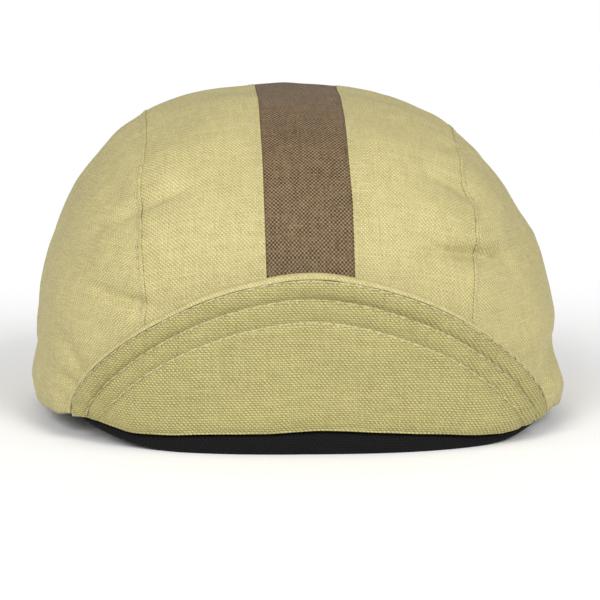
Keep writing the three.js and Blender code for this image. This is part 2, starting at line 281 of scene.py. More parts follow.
@dataclass(frozen=True)
class Fold(Run):
    """A soft ridge, or a soft valley where its height is below 0."""

    height: float
    width: float

    def rise(self, x: Array, z: Array) -> Array:
        """The rise at places seen from the front.

        Args:
            x: The places' distances across.
            z: Their heights.

        Returns:
            The rise, which fades out over the third of the run's length about each end.
        """
        along, above = self.along_and_above(x, z)
        ends = smooth(along * 3.0 + 0.5) * smooth((1.0 - along) * 3.0 + 0.5)
        return self.height * ends * bump(above, self.width)


@dataclass(frozen=True)
class Crease(Run):
    """A sharp valley with a soft roll on each side, drawn deepest towards its second end."""

    depth: float
    upper: float
    lower: float
    reach: float = 4.0
    width: float = 1.3
    build_up: float = 0.6
    run_out: float = 0.25

    def rise(self, x: Array, z: Array) -> Array:
        """The rise at places seen from the front.

        Args:
            x: The places' distances across.
            z: Their heights.

        Returns:
            The rise, below 0 in the valley and above 0 on the rolls.
        """
        along, above = self.along_and_above(x, z)
        far = np.abs(above) / self.reach
        roll = np.where(above > 0, self.upper, self.lower) * far * np.exp(1.0 - far)
        ends = smooth(along / self.build_up) * smooth((1.0 - along) / self.run_out + 1.0)
        return ends * (roll - self.depth * bump(above, self.width))


@dataclass(frozen=True)
class CrownForm:
    """The crown's outer surface: arches swung about the ear line, with its folds and lower edge."""

    half_width: float = 88.6
    height: float = 108.4
    apex_y: float = 9.0
    front: Half = Half(103.0, 2.5, 2.6)
    back: Half = Half(93.0, 2.3, 2.4)
    shoulder_fullness: dict[Side, float] = field(
        default_factory=lambda: {Side.LEFT: 2.62, Side.RIGHT: 2.26}
    )
    hem_skew: float = 5.0
    hem_tilt: float = 0.013
    foot_rise: float = 0.075
    crease_lean: tuple[float, float, float] = (0.4, 1.0, 1.0)
    course_top: float = 14.0
    front_fade: float = 50.0
    flare_at_edge: float = 0.6
    flare_peak: float = 6.0
    flare_top: float = 24.0
    tuck_top: float = 12.0
    gather_top: float = 30.0
    gather_pitch: float = 17.0
    fold_back: float = 34.0
    fold_fade: float = 26.0
    seams: Table = Table(
        ("turn", "left", "right", "stripe_left", "stripe_right"),
        [
            (0, 54.3, 53.6, 13.3, 14.5),
            (24, 53.0, 53.7, 13.5, 14.7),
            (34, 53.2, 54.3, 13.8, 14.8),
            (38.5, 53.4, 55.9, 13.9, 14.8),
            (43, 53.5, 54.9, 14.0, 14.8),
            (48, 53.8, 55.0, 14.0, 14.5),
            (54, 52.8, 53.0, 14.0, 14.2),
            (60, 51.4, 51.7, 14.0, 14.1),
            (72, 50.8, 50.8, 14.0, 14.1),
            (90, 50.2, 51.2, 13.9, 14.1),
            (135, 47.0, 49.5, 14.3, 14.3),
            (180, 42.0, 43.0, 14.2, 14.2),
        ],
    )
    hem: Table = Table(
        ("around", "crown", "band", "flare", "tuck", "gather", "bead"),
        [
            (0, 7.6, 0, 0, 0, 0, 1),
            (20, 6.8, 0, 0, 0, 0, 1),
            (31, 5.5, 0, 0, 0, 0, 1),
            (38, 5.2, 0.6, 0.1, 0, 0, 1),
            (48, 6.0, 3.2, 0.6, 0, 0, 0.9),
            (54, 6.6, 4.7, 1.5, 0, 0, 0.5),
            (60, 6.6, 5.6, 3.2, 0.1, 0, 0),
            (75, 6.0, 5.6, 2.4, 0.4, 0, 0),
            (100, 4.8, 5.0, 2.0, 1.2, 0.2, 0),
            (145, 0.7, 0, 1.6, 2.4, 0.8, 0),
            (180, 0.7, 0, 1.6, 2.8, 0.9, 0),
        ],
    )
    edge_course: Table = Table(
        ("x", "rise"),
        [
            (-88.6, -1.2), (-83.0, -1.2), (-80.0, -0.8), (-78.4, -0.3), (-76.0, 0.3),
            (-73.6, 0.5), (-72.0, 1.0), (-70.0, 1.6), (-67.0, 1.5), (-62.0, 0.8), (-54.5, -0.4),
            (-15.0, -0.35), (4.0, 0.55), (22.0, 0.1), (43.0, -0.4), (59.5, -0.5), (62.0, -0.25),
            (67.0, 0.4), (72.0, 1.4), (75.3, 1.7), (78.8, -0.6), (80.2, 0.0), (82.5, 1.2),
            (85.0, 1.0), (88.6, 0.1),
        ],
    )
    folds: tuple[Fold, ...] = (
        Fold(-66, 88, -17, 105.5, 1.3, 11),
        Fold(4, 108.5, 32, 103, -0.7, 8),
        Fold(26, 103, 64, 90, 1.2, 11),
        Fold(38, 84, 55, 79.7, -1.4, 5),
        Fold(40, 76, 66, 68, 1.1, 6),
        Fold(36, 64, 66, 58, -1.0, 6),
        Fold(76, 61, 100, 44, 1.45, 14),
        Fold(79, 36, 78.5, 18, 1.4, 6.5),
        Fold(74, 24, 100, 20, -2.2, 7),
        Fold(-62, 72, -36, 84, -1.2, 6),
        Fold(-70, 52, -46, 47, -0.9, 6),
        Fold(-100, 38, -78, 48, 1.0, 10),
        Fold(-100, 26, -72, 17, -1.1, 6),
        Fold(-100, 27, -82, 26.5, 1.0, 5),
        Fold(-48, 91.5, -18, 100, 0.7, 4.5),
        Fold(22, 97, 50, 89, 0.7, 4.5),
        Fold(-56.8, 79, -68.4, 63, 0.8, 3.5),
        Fold(-54, 71, -65, 61.5, -0.4, 3.2),
        Fold(-58, 66, -70, 58, 0.5, 3.0),
        Fold(-54, 46, -68, 51, -0.7, 3.5),
        Fold(32, 71, 53, 67.5, -0.5, 3.5),
        Fold(57, 73.5, 64, 71.2, -0.6, 3.0),
    )
    creases: tuple[Crease, ...] = (
        Crease(-35, 84.2, -52, 76.2, 0.8, 1.6, 1.1, reach=4.8, width=2.0, build_up=0.6, run_out=0.4),
        Crease(-50, 79.5, -66, 68.5, 1.3, 0.3, 1.2, reach=6.0, width=2.4, build_up=0.4, run_out=0.5),
        Crease(-36, 64.0, -53, 67.6, 0.5, 0.5, 0.5, width=1.8),
        Crease(-74, 50.2, -55, 47.0, 1.3, 0.9, 0.7, width=1.9, build_up=0.35, run_out=0.4),
        Crease(30, 102.5, 52, 93.0, 0.4, 0.4, 0.5, reach=3.4),
        Crease(38, 94.0, 53, 89.6, 0.8, 0.5, 0.7, reach=4.0, width=1.8),
        Crease(36, 88.2, 54, 78.4, 0.6, 0.5, 1.5, reach=4.4, width=1.6),
        Crease(36, 65.2, 61, 60.0, 3.4, 1.9, 1.3, reach=4.8, width=2.3, build_up=0.7, run_out=0.4),
        Crease(72, 51.0, 58, 58.5, 0.2, 0.4, 0.4, reach=4.0),
        Crease(-83.0, 39.0, -75.0, 26.0, 1.5, 1.1, 0.9, reach=4.2, width=2.2, build_up=0.5, run_out=0.5),
        Crease(-86.0, 23.6, -75.0, 17.2, 1.7, 0.5, 1.6, reach=3.4, width=1.6, build_up=0.4, run_out=0.4),
        Crease(-84.0, 16.5, -78.0, 12.8, 1.4, 0.5, 0.9, reach=2.6, width=1.8, build_up=0.4, run_out=0.4),
        Crease(86.5, 31.0, 81.0, 17.5, 2.2, 0.8, 0.4, reach=4.0, width=2.6, build_up=0.4, run_out=0.4),
    )

    def around(self, x: Array, y: Array) -> Array:
        """The angle round the head from the front of the lower edge's pattern, in degrees."""
        return np.degrees(np.arctan2(np.abs(x - self.hem_skew), -y))

    def pick(self, turn: Array, name: str) -> Array:
        """A value of the front half or the back half, by the turn of each arch."""
        return np.where(np.asarray(turn) < 90.0, getattr(self.front, name), getattr(self.back, name))

    def fullness(self, turn: Array, side: Side) -> Array:
        """The fullness of the arch at each turn, on one side."""
        plan = self.pick(turn, "plan_fullness")
        return plan + (self.shoulder_fullness[side] - plan) * np.sin(np.radians(turn)) ** 2

    def share(self, turn: Array, across: Array, side: Side) -> Array:
        """The share of its reach at which an arch stands `across` from the centre line."""
        return arch(across / self.half_width, self.fullness(turn, side))

    def across(self, turn: Array, share: Array, side: Side) -> Array:
        """How far from the centre line an arch stands at a share of its reach."""
        return self.half_width * arch(share, self.fullness(turn, side))

    def seam(self, turn: Array, side: Side) -> Array:
        """The side seam's distance from the centre line at each turn."""
        return self.seams.read(side.word, turn)

    def stripe_edge(self, turn: Array, side: Side) -> Array:
        """The stripe's edge, as seam gives the side seam."""
        return self.seams.read(f"stripe_{side.word}", turn)

    def edge_level(self, x: Array, y: Array) -> Array:
        """The height of the crown's lower edge over the table, a little lower at the front right."""
        tilt = self.hem_tilt * x * smooth(-y / self.front_fade)
        return self.hem.read("crown", self.around(x, y)) - tilt

    def edge_rise(self, x: Array, y: Array, above: Array | float) -> Array:
        """What the edge's own course at the front adds to the level, at a height above the edge."""
        fade = smooth(-y / self.front_fade) * (1.0 - smooth(np.asarray(above) / self.course_top))
        return self.edge_course.read("rise", x) * fade

    def edge_height(self, x: Array, y: Array) -> Array:
        """The height of the crown's lower edge over the table."""
        return self.edge_level(x, y) + self.edge_rise(x, y, 0.0)

    def edge_offset(self, around: Array, above: Array) -> Array:
        """How far the flare, the tuck and the gathers push the cloth out near its lower edge.

        Args:
            around: Angles round the head, as around gives them.
            above: Heights above the edge.

        Returns:
            The distances outwards.
        """
        rising = self.flare_at_edge + (1.0 - self.flare_at_edge) * smooth(above / self.flare_peak)
        falling = np.maximum(0.0, (self.flare_top - above) / (self.flare_top - self.flare_peak))
        swell = np.where(above < self.flare_peak, rising, falling)
        tucked = 1.0 - smooth(above / self.tuck_top)
        arc = np.radians(180.0 - around) * self.half_width
        ribs = np.cos(2.0 * np.pi * arc / self.gather_pitch) * (1.0 - smooth(above / self.gather_top))
        return (
            self.hem.read("flare", around) * swell
            - self.hem.read("tuck", around) * tucked
            + self.hem.read("gather", around) * ribs
        )

    def summed(self, runs: tuple[Fold | Crease, ...], points: Array) -> Array:
        """The summed rise of folds or creases at points of the crown, which fades out behind."""
        rise = sum(run.rise(points[..., 0], points[..., 2]) for run in runs)
        return rise * smooth((self.fold_back - points[..., 1]) / self.fold_fade)

    def point(self, turn: Array, across: Array, side: Side) -> Array:
        """Points of the crown's outer surface before any fine detail.

        Args:
            turn: Turn of each point's arch, 0 at the front edge and 180 at the back edge.
            across: Distance from the centre line, never negative.
            side: The side that the points lie on.

        Returns:
            The points, one more axis of 3 than the arguments have.
        """
        turn, across = np.broadcast_arrays(np.asarray(turn, float), np.asarray(across, float))
        reach_front, fullness = self.pick(turn, "reach"), self.pick(turn, "profile_fullness")
        c, s = np.cos(np.radians(turn)), np.sin(np.radians(turn))
        centre = (np.abs(c / reach_front) ** fullness + np.abs(s / self.height) ** fullness) ** (
            -1.0 / fullness
        )
        reach = self.share(turn, across, side) * centre
        x = side.value * np.minimum(across, self.half_width)
        y = self.apex_y - reach * c
        z = reach * s
        around = self.around(x, y)
        out_x, out_y = x / self.half_width**2, (y - self.apex_y) / reach_front**2
        offset = self.edge_offset(around, z) / np.maximum(np.hypot(out_x, out_y), TINY)
        edge = self.edge_level(x, y)
        height = edge + z * (1.0 - edge / self.height) + self.edge_rise(x, y, z)
        points = np.stack([x + out_x * offset, y + out_y * offset, height], axis=-1)
        lift = points - HEAD_CENTRE
        lift /= np.linalg.norm(lift, axis=-1, keepdims=True)
        folded = lift * self.summed(self.folds, points)[..., None]
        creased = lift * np.array(self.crease_lean) * self.summed(self.creases, points)[..., None]
        return points + folded + creased

    def front_y(self, x: Array) -> Array:
        """Where the front of the lower edge lies in plan, at distances across."""
        return self.apex_y - self.front.reach * arch(x / self.half_width, self.front.plan_fullness)

    def front_plan(self, x: Array) -> tuple[Array, Array, Array]:
        """The front of the lower edge in plan.

        Args:
            x: Distances across, to the right.

        Returns:
            The points, their outward directions, and the length of edge for each millimetre across.
        """
        slope = (self.front_y(x + SLOPE_STEP) - self.front_y(x - SLOPE_STEP)) / (2.0 * SLOPE_STEP)
        stretch = np.hypot(1.0, slope)
        points = np.stack([x, self.front_y(x), np.zeros_like(x)], axis=-1)
        outward = np.stack([slope / stretch, -1.0 / stretch, np.zeros_like(x)], axis=-1)
        return points, outward, stretch

    def edge_plan(self, angle: Array) -> tuple[Array, Array]:
        """The whole lower edge in plan, by its own angle from the front.

        Args:
            angle: Radians from the front, towards the right.

        Returns:
            The points and their outward directions.
        """
        ahead = np.cos(angle) > 0
        fullness = np.where(ahead, self.front.plan_fullness, self.back.plan_fullness)
        reach = np.where(ahead, self.front.reach, self.back.reach)
        s, c = np.sin(angle), np.cos(angle)
        x = self.half_width * np.sign(s) * np.abs(s) ** (2.0 / fullness)
        away = np.abs(c) ** (2.0 / fullness)
        y = self.apex_y - reach * np.sign(c) * away
        out_x = np.sign(x) * np.abs(x / self.half_width) ** (fullness - 1.0) / self.half_width
        out_y = np.sign(y - self.apex_y) * away ** (fullness - 1.0) / reach
        outward = np.stack([out_x, out_y, np.zeros_like(x)], axis=-1)
        outward /= np.linalg.norm(outward, axis=-1, keepdims=True)
        return np.stack([x, y, np.zeros_like(x)], axis=-1), outward


# Meshes from grids of points


def grid_normals(points: Array) -> Array:
    """The directions that a grid of points faces.

    Args:
        points: The grid, with a last axis of 3.

    Returns:
        A unit normal for each point, pointing away from the middle of the head.
    """
    normals = np.cross(np.gradient(points, axis=0), np.gradient(points, axis=1))
    normals /= np.maximum(np.linalg.norm(normals, axis=-1, keepdims=True), TINY)
    outward = np.sum(normals * (points - HEAD_CENTRE), axis=-1, keepdims=True)
    return normals * np.where(outward < 0.0, -1.0, 1.0)


def quads(ids: Array) -> Array:
    """The quads of a grid of vertex numbers."""
    return np.stack([ids[:-1, :-1], ids[1:, :-1], ids[1:, 1:], ids[:-1, 1:]], axis=-1).reshape(-1, 4)


def linked(name: str, data: bpy.types.ID) -> Thing:
    """A new object with this data, linked to the scene.

    Args:
        name: The object's name.
        data: Its mesh, camera or light.

    Returns:
        The object.
    """
    thing = bpy.data.objects.new(name, data)
    bpy.context.scene.collection.objects.link(thing)
    return thing


def solid_object(
    name: str, points: Array, faces: Array, cloth: Array, material: Material
) -> Thing:
    """A smooth closed mesh object, turned to face outwards.

    Args:
        name: The object's name.
        points: Vertices, in millimetres.
        faces: Four vertex numbers for each face.
        cloth: The place of each face's four corners on the flat cloth, in millimetres.
        material: The finish.

    Returns:
        The object, linked to the scene, with a UV map named Cloth.
    """
    a, b, c, d = (points[faces[:, k]] for k in range(4))
    volume = np.sum(a * np.cross(b, c)) + np.sum(a * np.cross(c, d))
    if volume < 0:
        faces, cloth = faces[:, ::-1], cloth[:, ::-1]
    mesh = bpy.data.meshes.new(name)
    mesh.vertices.add(len(points))
    mesh.vertices.foreach_set("co", (points * MILLIMETRE).astype(np.float32).ravel())
    mesh.loops.add(faces.size)
    mesh.loops.foreach_set("vertex_index", np.ascontiguousarray(faces, dtype=np.int32).ravel())
    mesh.polygons.add(len(faces))
    mesh.polygons.foreach_set("loop_start", np.arange(0, faces.size, 4, dtype=np.int32))
    mesh.polygons.foreach_set("use_smooth", np.ones(len(faces), dtype=bool))
    layer = mesh.uv_layers.new(name="Cloth")
    layer.uv.foreach_set("vector", np.ascontiguousarray(cloth, dtype=np.float32).ravel())
    mesh.materials.append(material)
    mesh.update(calc_edges=True)
    mesh.validate()
    return linked(name, mesh)


def wall_object(
    name: str, outer: Array, inner: Array, cloth: Array, material: Material
) -> Thing:
    """A closed wall between two grids of points.

    Args:
        name: The object's name.
        outer: The outer face's points, as a grid.
        inner: The inner face's points, as the same grid.
        cloth: Each grid point's place on the flat cloth.
        material: The finish.

    Returns:
        The object.
    """
    columns, rows = outer.shape[:2]
    ids = np.arange(columns * rows).reshape(columns, rows)
    under = ids + columns * rows
    rim = [
        np.stack([ids[:, 0], under[:, 0]]),
        np.stack([under[:, -1], ids[:, -1]]),
        np.stack([under[0, :], ids[0, :]]),
        np.stack([ids[-1, :], under[-1, :]]),
    ]
    faces = np.concatenate([quads(ids), quads(under)[:, ::-1], *(quads(strip) for strip in rim)])
    points = np.concatenate([outer.reshape(-1, 3), inner.reshape(-1, 3)])
    places = np.concatenate([cloth.reshape(-1, 2)] * 2)
    return solid_object(name, points, faces, places[faces], material)


def loft_object(
    name: str, sections: Array, cloth: Array, ring: bool, material: Material
) -> Thing:
    """A bar or a ring through closed sections.

    Args:
        name: The object's name.
        sections: The sections' points, first axis along the bar.
        cloth: Places on the flat cloth, with one more column along a ring and one more row round
            each section than there are points, for the cloth's own cut edges.
        ring: True if the last section joins the first, or else both ends are closed.
        material: The finish.

    Returns:
        The object.
    """
    count, size = sections.shape[:2]
    ids = np.arange(count * size).reshape(count, size)
    places = np.arange(cloth.shape[0] * cloth.shape[1]).reshape(cloth.shape[:2])
    wrapped = np.concatenate([ids, ids[:, :1]], axis=1)
    if ring:
        wrapped = np.concatenate([wrapped, wrapped[:1]], axis=0)
    faces, corners = [quads(wrapped)], [quads(places)]
    half = size // 2
    for end, turned in ((0, False), (count - 1, True)) if not ring else ():
        zipped = np.stack([ids[end, :half], ids[end, ::-1][:half]])
        zipped_places = np.stack([places[end, :half], places[end, :size][::-1][:half]])
        for found, pair in ((faces, zipped), (corners, zipped_places)):
            cap = quads(pair)
            found.append(cap[:, ::-1] if turned else cap)
    faces, corners = np.concatenate(faces), np.concatenate(corners)
    return solid_object(name, sections.reshape(-1, 3), faces, cloth.reshape(-1, 2)[corners], material)


# Distances from an edge at which a grid has extra rows
EDGE_ROWS = (0.12, 0.3, 0.55, 0.85, 1.2, 1.6, 2.0, 2.5, 3.1, 3.8)


def spaced(length: float, step: float, both: bool) -> Array:
    """Shares from 0 to 1, even in the middle and closer together towards an edge.

    Args:
        length: The distance that the shares divide, in millimetres.
        step: The spacing in the middle.
        both: True for extra rows at both edges, or else only at the last.

    Returns:
        The shares in rising order.
    """
    near = np.array(EDGE_ROWS) / length
    low = near[-1] if both else 0.0
    middle = np.linspace(low, 1.0 - near[-1], max(2, int(length * (1.0 - low - near[-1]) / step)))
    first = np.concatenate([[0.0], near[:-1]]) if both else np.array([])
    return np.concatenate([first, middle, 1.0 - near[:-1][::-1], [1.0]])


def rolled(distance: Array, radius: float) -> Array:
    """How far a rounded edge falls away, by the distance from the edge."""
    return radius * (1.0 - np.sqrt(1.0 - np.clip(1.0 - distance / radius, 0.0, 1.0) ** 2))


# Shader maths


class Graph:
    """Builds a material's nodes from Python expressions."""

    def __init__(self, name: str) -> None:
        """Starts an empty material.

        Args:
            name: The material's name.
        """
        self.material = bpy.data.materials.new(name)
        self.material.use_nodes = True
        self.tree = self.material.node_tree
        self.tree.nodes.clear()

    def node(self, kind: str, settings: dict[str, str] | None = None, **inputs: Term) -> bpy.types.Node:
        """Adds a node, with its settings first and then its sockets.

        Args:
            kind: The node's Blender type.
            settings: Values of the node's own properties.
            **inputs: A value or an expression for each socket, by its number, such as i0=3.

        Returns:
            The node.
        """
        made = self.tree.nodes.new(kind)
        for key, value in (settings or {}).items():
            setattr(made, key, value)
        for key, value in inputs.items():
            self.feed(made.inputs[int(key[1:])], value)
        return made

    def feed(self, socket: Socket, value: Term) -> None:
        """Links an expression to an input, or sets a plain value on it.

        Args:
            socket: The input.
            value: What it gets.
        """
        if isinstance(value, Value):
            self.tree.links.new(value.socket, socket)
        else:
            socket.default_value = value

    def value(
        self, kind: str, settings: dict[str, str] | None = None, output: int | str = 0, **inputs: Term
    ) -> "Value":
        """Adds a node, as node does, and returns one of its outputs as an expression."""
        return Value(self, self.node(kind, settings, **inputs).outputs[output])

    def mix(self, share: Number, low: Term, high: Term) -> "Value":
        """A colour between two colours."""
        made = self.node("ShaderNodeMix", {"data_type": "RGBA"}, i0=share, i6=low, i7=high)
        return Value(self, made.outputs[2])

    def noise(self, where: "Value", scale: float, detail: float = 2.0, roughness: float = 0.5) -> "Value":
        """Smooth noise from 0 to 1, whose detail and roughness are the pairs that finishes keep."""
        settings = {"noise_dimensions": "3D"}
        return self.value("ShaderNodeTexNoise", settings, i0=where, i2=scale, i3=detail, i4=roughness)

    def chance(self, x: "Value", y: "Value") -> "Value":
        """A random number from 0 to 1 for each pair of whole numbers."""
        settings = {"noise_dimensions": "2D"}
        return self.value("ShaderNodeTexWhiteNoise", settings, i0=self.vector(x, y, 0.0))

    def vector(self, x: Number, y: Number, z: Number) -> "Value":
        """Three numbers as a vector."""
        return self.value("ShaderNodeCombineXYZ", i0=x, i1=y, i2=z)

    def ramp(self, value: "Value", low: float, high: float) -> "Value":
        """A smooth step from 0 at `low` to 1 at `high`."""
        settings = {"interpolation_type": "SMOOTHSTEP"}
        return self.value("ShaderNodeMapRange", settings, i0=value, i1=low, i2=high, i3=0.0, i4=1.0)

    def relief(self, height: "Value", depth: float, strength: float = 1.0) -> "Value":
        """Bumped normals, by a height from 0 to 1 and its depth in metres."""
        return self.value("ShaderNodeBump", i0=strength, i1=depth, i3=height)

    def cloth(self) -> tuple["Value", "Value", "Value"]:
        """The place on the flat cloth, in millimetres.

        Returns:
            The place as a vector, then its distance along the cloth and its distance up.
        """
        flat = self.value("ShaderNodeUVMap", {"uv_map": "Cloth"})
        split = self.node("ShaderNodeSeparateXYZ", i0=flat)
        return flat, Value(self, split.outputs[0]), Value(self, split.outputs[1])

    def surface(self, sockets: dict[str, Term]) -> Material:
        """Ends the material in one Principled shader.

        Args:
            sockets: A value or an expression for each of the shader's sockets, by its name.

        Returns:
            The finished material.
        """
        shader = self.node("ShaderNodeBsdfPrincipled")
        for name, value in sockets.items():
            self.feed(shader.inputs[name], value)
        output = self.node("ShaderNodeOutputMaterial")
        self.tree.links.new(shader.outputs[0], output.inputs[0])
        return self.material


class Value:
    """A shader socket that can stand in an expression."""

    def __init__(self, graph: Graph, socket: Socket) -> None:
        """Wraps an output socket of a graph's node."""
        self.graph = graph
        self.socket = socket

    def _math(self, operation: str, *terms: Number) -> "Value":
        """Adds a Math node on the terms."""
        inputs = {f"i{k}": term for k, term in enumerate(terms)}
        return self.graph.value("ShaderNodeMath", {"operation": operation}, **inputs)

    def __add__(self, other: Number) -> "Value":
        """The sum."""
        return self._math("ADD", self, other)

    __radd__ = __add__

    def __sub__(self, other: Number) -> "Value":
        """The difference."""
        return self._math("SUBTRACT", self, other)

    def __rsub__(self, other: Number) -> "Value":
        """The difference, the other way round."""
        return self._math("SUBTRACT", other, self)

    def __mul__(self, other: Number) -> "Value":
        """The product."""
        return self._math("MULTIPLY", self, other)

    __rmul__ = __mul__

    def __truediv__(self, other: Number) -> "Value":
        """The quotient."""
        return self._math("DIVIDE", self, other)

    def round(self) -> "Value":
        """The nearest whole number."""
        return self._math("ROUND", self)

    def cos(self) -> "Value":
        """The cosine."""
        return self._math("COSINE", self)

    def larger(self, other: Number) -> "Value":
        """The larger of two."""
        return self._math("MAXIMUM", self, other)


# Finishes


def linear(red: int, green: int, blue: int) -> Colour:
    """A screen colour as the linear colour that shaders use.

    Args:
        red: The screen's red, from 0 to 255.
        green: Its green.
        blue: Its blue.

    Returns:
        The linear red, green and blue from 0 to 1, and an opacity of 1.
    """
    parts = np.array([red, green, blue]) / 255.0
    values = np.where(parts <= 0.04045, parts / 12.92, ((parts + 0.055) / 1.055) ** 2.4)
    return (*(float(v) for v in values), 1.0)


@dataclass(frozen=True)
class Linen:
    """Plain-weave linen with uneven, twisted threads. Pitches and wavelengths are in millimetres."""

    name: str
    dark: Colour
    pale: Colour
    # The third colour is painted shade for the hollows between the threads
    pit_shade: Colour
    warp_pitch: float = 0.6
    weft_pitch: float = 0.725
    # The warp's tone is paler than the weft's partly as painted light and shade, from how the light falls
    # on threads of each direction, and partly as the threads' own colours
    warp_tone: float = 0.62
    weft_tone: float = 0.46
    # Painted light and shade of the weave: the two diagonal terms paint bands where twisted threads catch
    # the light, and the row term paints shade between the weft rows
    twist: float = 0.23
    cross_twist: float = 0.07
    row_shade: float = 0.1
    slub: float = 0.63
    grain: float = 0.7
    jitter: float = 0.22
    drift: float = 0.7
    cloudiness: float = 0.3
    crimp: float = 0.55
    roundness: float = 0.8
    thin_thread: float = 0.36
    thread_growth: float = 0.22
    # How strongly, and below which thread heights, the hollows between threads are painted with shade
    pit_shade_share: float = 0.5
    pit_shade_range: tuple[float, float] = (-0.15, 0.75)
    overlap: float = 0.15
    drift_scales: tuple[float, float] = (0.11, 0.13)
    jitter_scale: float = 0.8
    jitter_stretch: float = 0.12
    slub_stretch: float = 0.07
    thread_steps: tuple[float, float] = (3.17, 3.31)
    rough_noise: tuple[float, float] = (3.0, 0.6)
    cloud_scale: float = 0.05
    relief: float = 0.0001
    sheen: float = 0.02
    sheen_roughness: float = 0.5
    gloss: float = 0.3
    roughness: float = 0.62

    def threads(self, graph: Graph, flat: Value, u: Value, v: Value) -> tuple[Value, Value]:
        """Numbers the threads over the flat cloth.

        Args:
            graph: The material's graph.
            flat: The place on the cloth.
            u: Its distance along the cloth.
            v: Its distance up.

        Returns:
            The place counted in warp threads and in weft threads, which drift and waver.
        """
        # The third number of a place only picks another slice of the noise
        u_drift = graph.noise(flat, self.drift_scales[0])
        u = u + self.drift * (u_drift - 0.5)
        v_drift = graph.noise(graph.vector(v, u, 9.0), self.drift_scales[1])
        v = v + self.drift * (v_drift - 0.5)
        u_jitter = graph.noise(graph.vector(u, v * self.jitter_stretch, 4.0), self.jitter_scale)
        u = u + self.jitter * (u_jitter - 0.5)
        v_jitter = graph.noise(graph.vector(u * self.jitter_stretch, v, 6.0), self.jitter_scale)
        v = v + self.jitter * (v_jitter - 0.5)
        return u / self.warp_pitch, v / self.weft_pitch

    def thread_height(self, turn: Value, along: Value, aside: Value, width: Value) -> Value:
        """The height of one set of threads.

        Args:
            turn: 1 where a thread passes over at its nearest crossing, and -1 where it passes under.
            along: Distance along the thread from that crossing, in threads of the other set.
            aside: Distance from the thread's middle, in threads.
            width: The thread's half width, in threads.

        Returns:
            The height, of about 1 at most.
        """
        across = aside / width
        return self.crimp * turn * (along * np.pi).cos() + self.roundness * (1.0 - across * across)

    def material(self) -> Material:
        """Mixes the cloth, with painted light and shade on the threads and in the hollows between them.

        Returns:
            A material that reads the Cloth map, whose unit is a millimetre.
        """
        graph = Graph(self.name)
        flat, u, v = graph.cloth()
        a, b = self.threads(graph, flat, u, v)
        warp, weft = a.round(), b.round()
        turn = ((warp + weft) * np.pi).cos()
        # Each thread has a stretch of noise of its own, a step away from that of the next thread
        warp_place = graph.vector(warp * self.thread_steps[0], b * self.slub_stretch, 2.0)
        warp_noise = graph.noise(warp_place, 1.0, *self.rough_noise)
        weft_place = graph.vector(a * self.slub_stretch, weft * self.thread_steps[1], 7.0)
        weft_noise = graph.noise(weft_place, 1.0, *self.rough_noise)
        warp_width = self.thin_thread + self.thread_growth * warp_noise
        weft_width = self.thin_thread + self.thread_growth * weft_noise
        warp_height = self.thread_height(turn, b - weft, a - warp, warp_width)
        weft_height = self.thread_height(-1.0 * turn, a - warp, b - weft, weft_width)
        height = warp_height.larger(weft_height)
        on_top = graph.ramp(warp_height - weft_height, -self.overlap, self.overlap)
        slubs = weft_noise + (warp_noise - weft_noise) * on_top - 0.5
        tone = self.weft_tone + (self.warp_tone - self.weft_tone) * on_top + 2.0 * self.slub * slubs
        # Painted light and shade on the crossings: diagonal bands where twisted threads catch the light,
        # and shade between the weft rows
        weave = self.twist * ((a + b) * np.pi).cos() + self.cross_twist * ((a - b) * np.pi).cos()
        weave = weave + self.row_shade * (b * (2.0 * np.pi)).cos()
        tone = tone + weave * (1.0 - self.grain + 2.0 * self.grain * graph.chance(warp, weft))
        clouds = graph.noise(flat, self.cloud_scale, *self.rough_noise)
        tone = tone + self.cloudiness * (clouds - 0.5)
        # Painted shade in the hollows between the threads, where the weave is lowest
        painted_pit_shade = (1.0 - graph.ramp(height, *self.pit_shade_range)) * self.pit_shade_share
        return graph.surface(
            {
                "Base Color": graph.mix(painted_pit_shade, graph.mix(tone, self.dark, self.pale), self.pit_shade),
                "Normal": graph.relief(height, self.relief),
                "Roughness": self.roughness,
                "Specular IOR Level": self.gloss,
                "Sheen Weight": self.sheen,
                "Sheen Roughness": self.sheen_roughness,
            }
        )


@dataclass(frozen=True)
class StretchMesh:
    """Black stretch fabric with rows of fine holes."""

    name: str = "black stretch mesh"
    thread: Colour = linear(18, 17, 17)
    # The hole colour is painted shade, for the dark seen through the holes
    hole_shade: Colour = linear(6, 6, 6)
    pitch: float = 1.15
    row_share: float = 0.8
    row_shift: float = 0.25
    hole_range: tuple[float, float] = (0.02, 0.14)
    fuzziness: float = 0.45
    fuzz_scale: float = 2.2
    fuzz_noise: tuple[float, float] = (3.0, 0.7)
    fuzz_height: float = 0.5
    relief: float = 0.00022
    sheen: float = 0.02
    gloss: float = 0.15
    roughness: float = 0.85

    def material(self) -> Material:
        """Mixes the fabric, with painted shade in its holes.

        Returns:
            A material that reads the Cloth map, whose unit is a millimetre.
        """
        graph = Graph(self.name)
        flat, u, v = graph.cloth()
        a, b = u / self.pitch, v / (self.pitch * self.row_share)
        row = b.round()
        shifted = a + (row * np.pi).cos() * self.row_shift
        aside, below = shifted - shifted.round(), b - row
        # The holes are painted darker, as painted shade seen through them
        spot = graph.ramp(aside * aside + below * below, *self.hole_range)
        fuzz = graph.noise(flat, self.fuzz_scale, *self.fuzz_noise)
        tone = spot * (1.0 - self.fuzziness + self.fuzziness * fuzz)
        return graph.surface(
            {
                "Base Color": graph.mix(tone, self.hole_shade, self.thread),
                "Normal": graph.relief(spot + self.fuzz_height * fuzz, self.relief),
                "Roughness": self.roughness,
                "Specular IOR Level": self.gloss,
                "Sheen Weight": self.sheen,
            }
        )


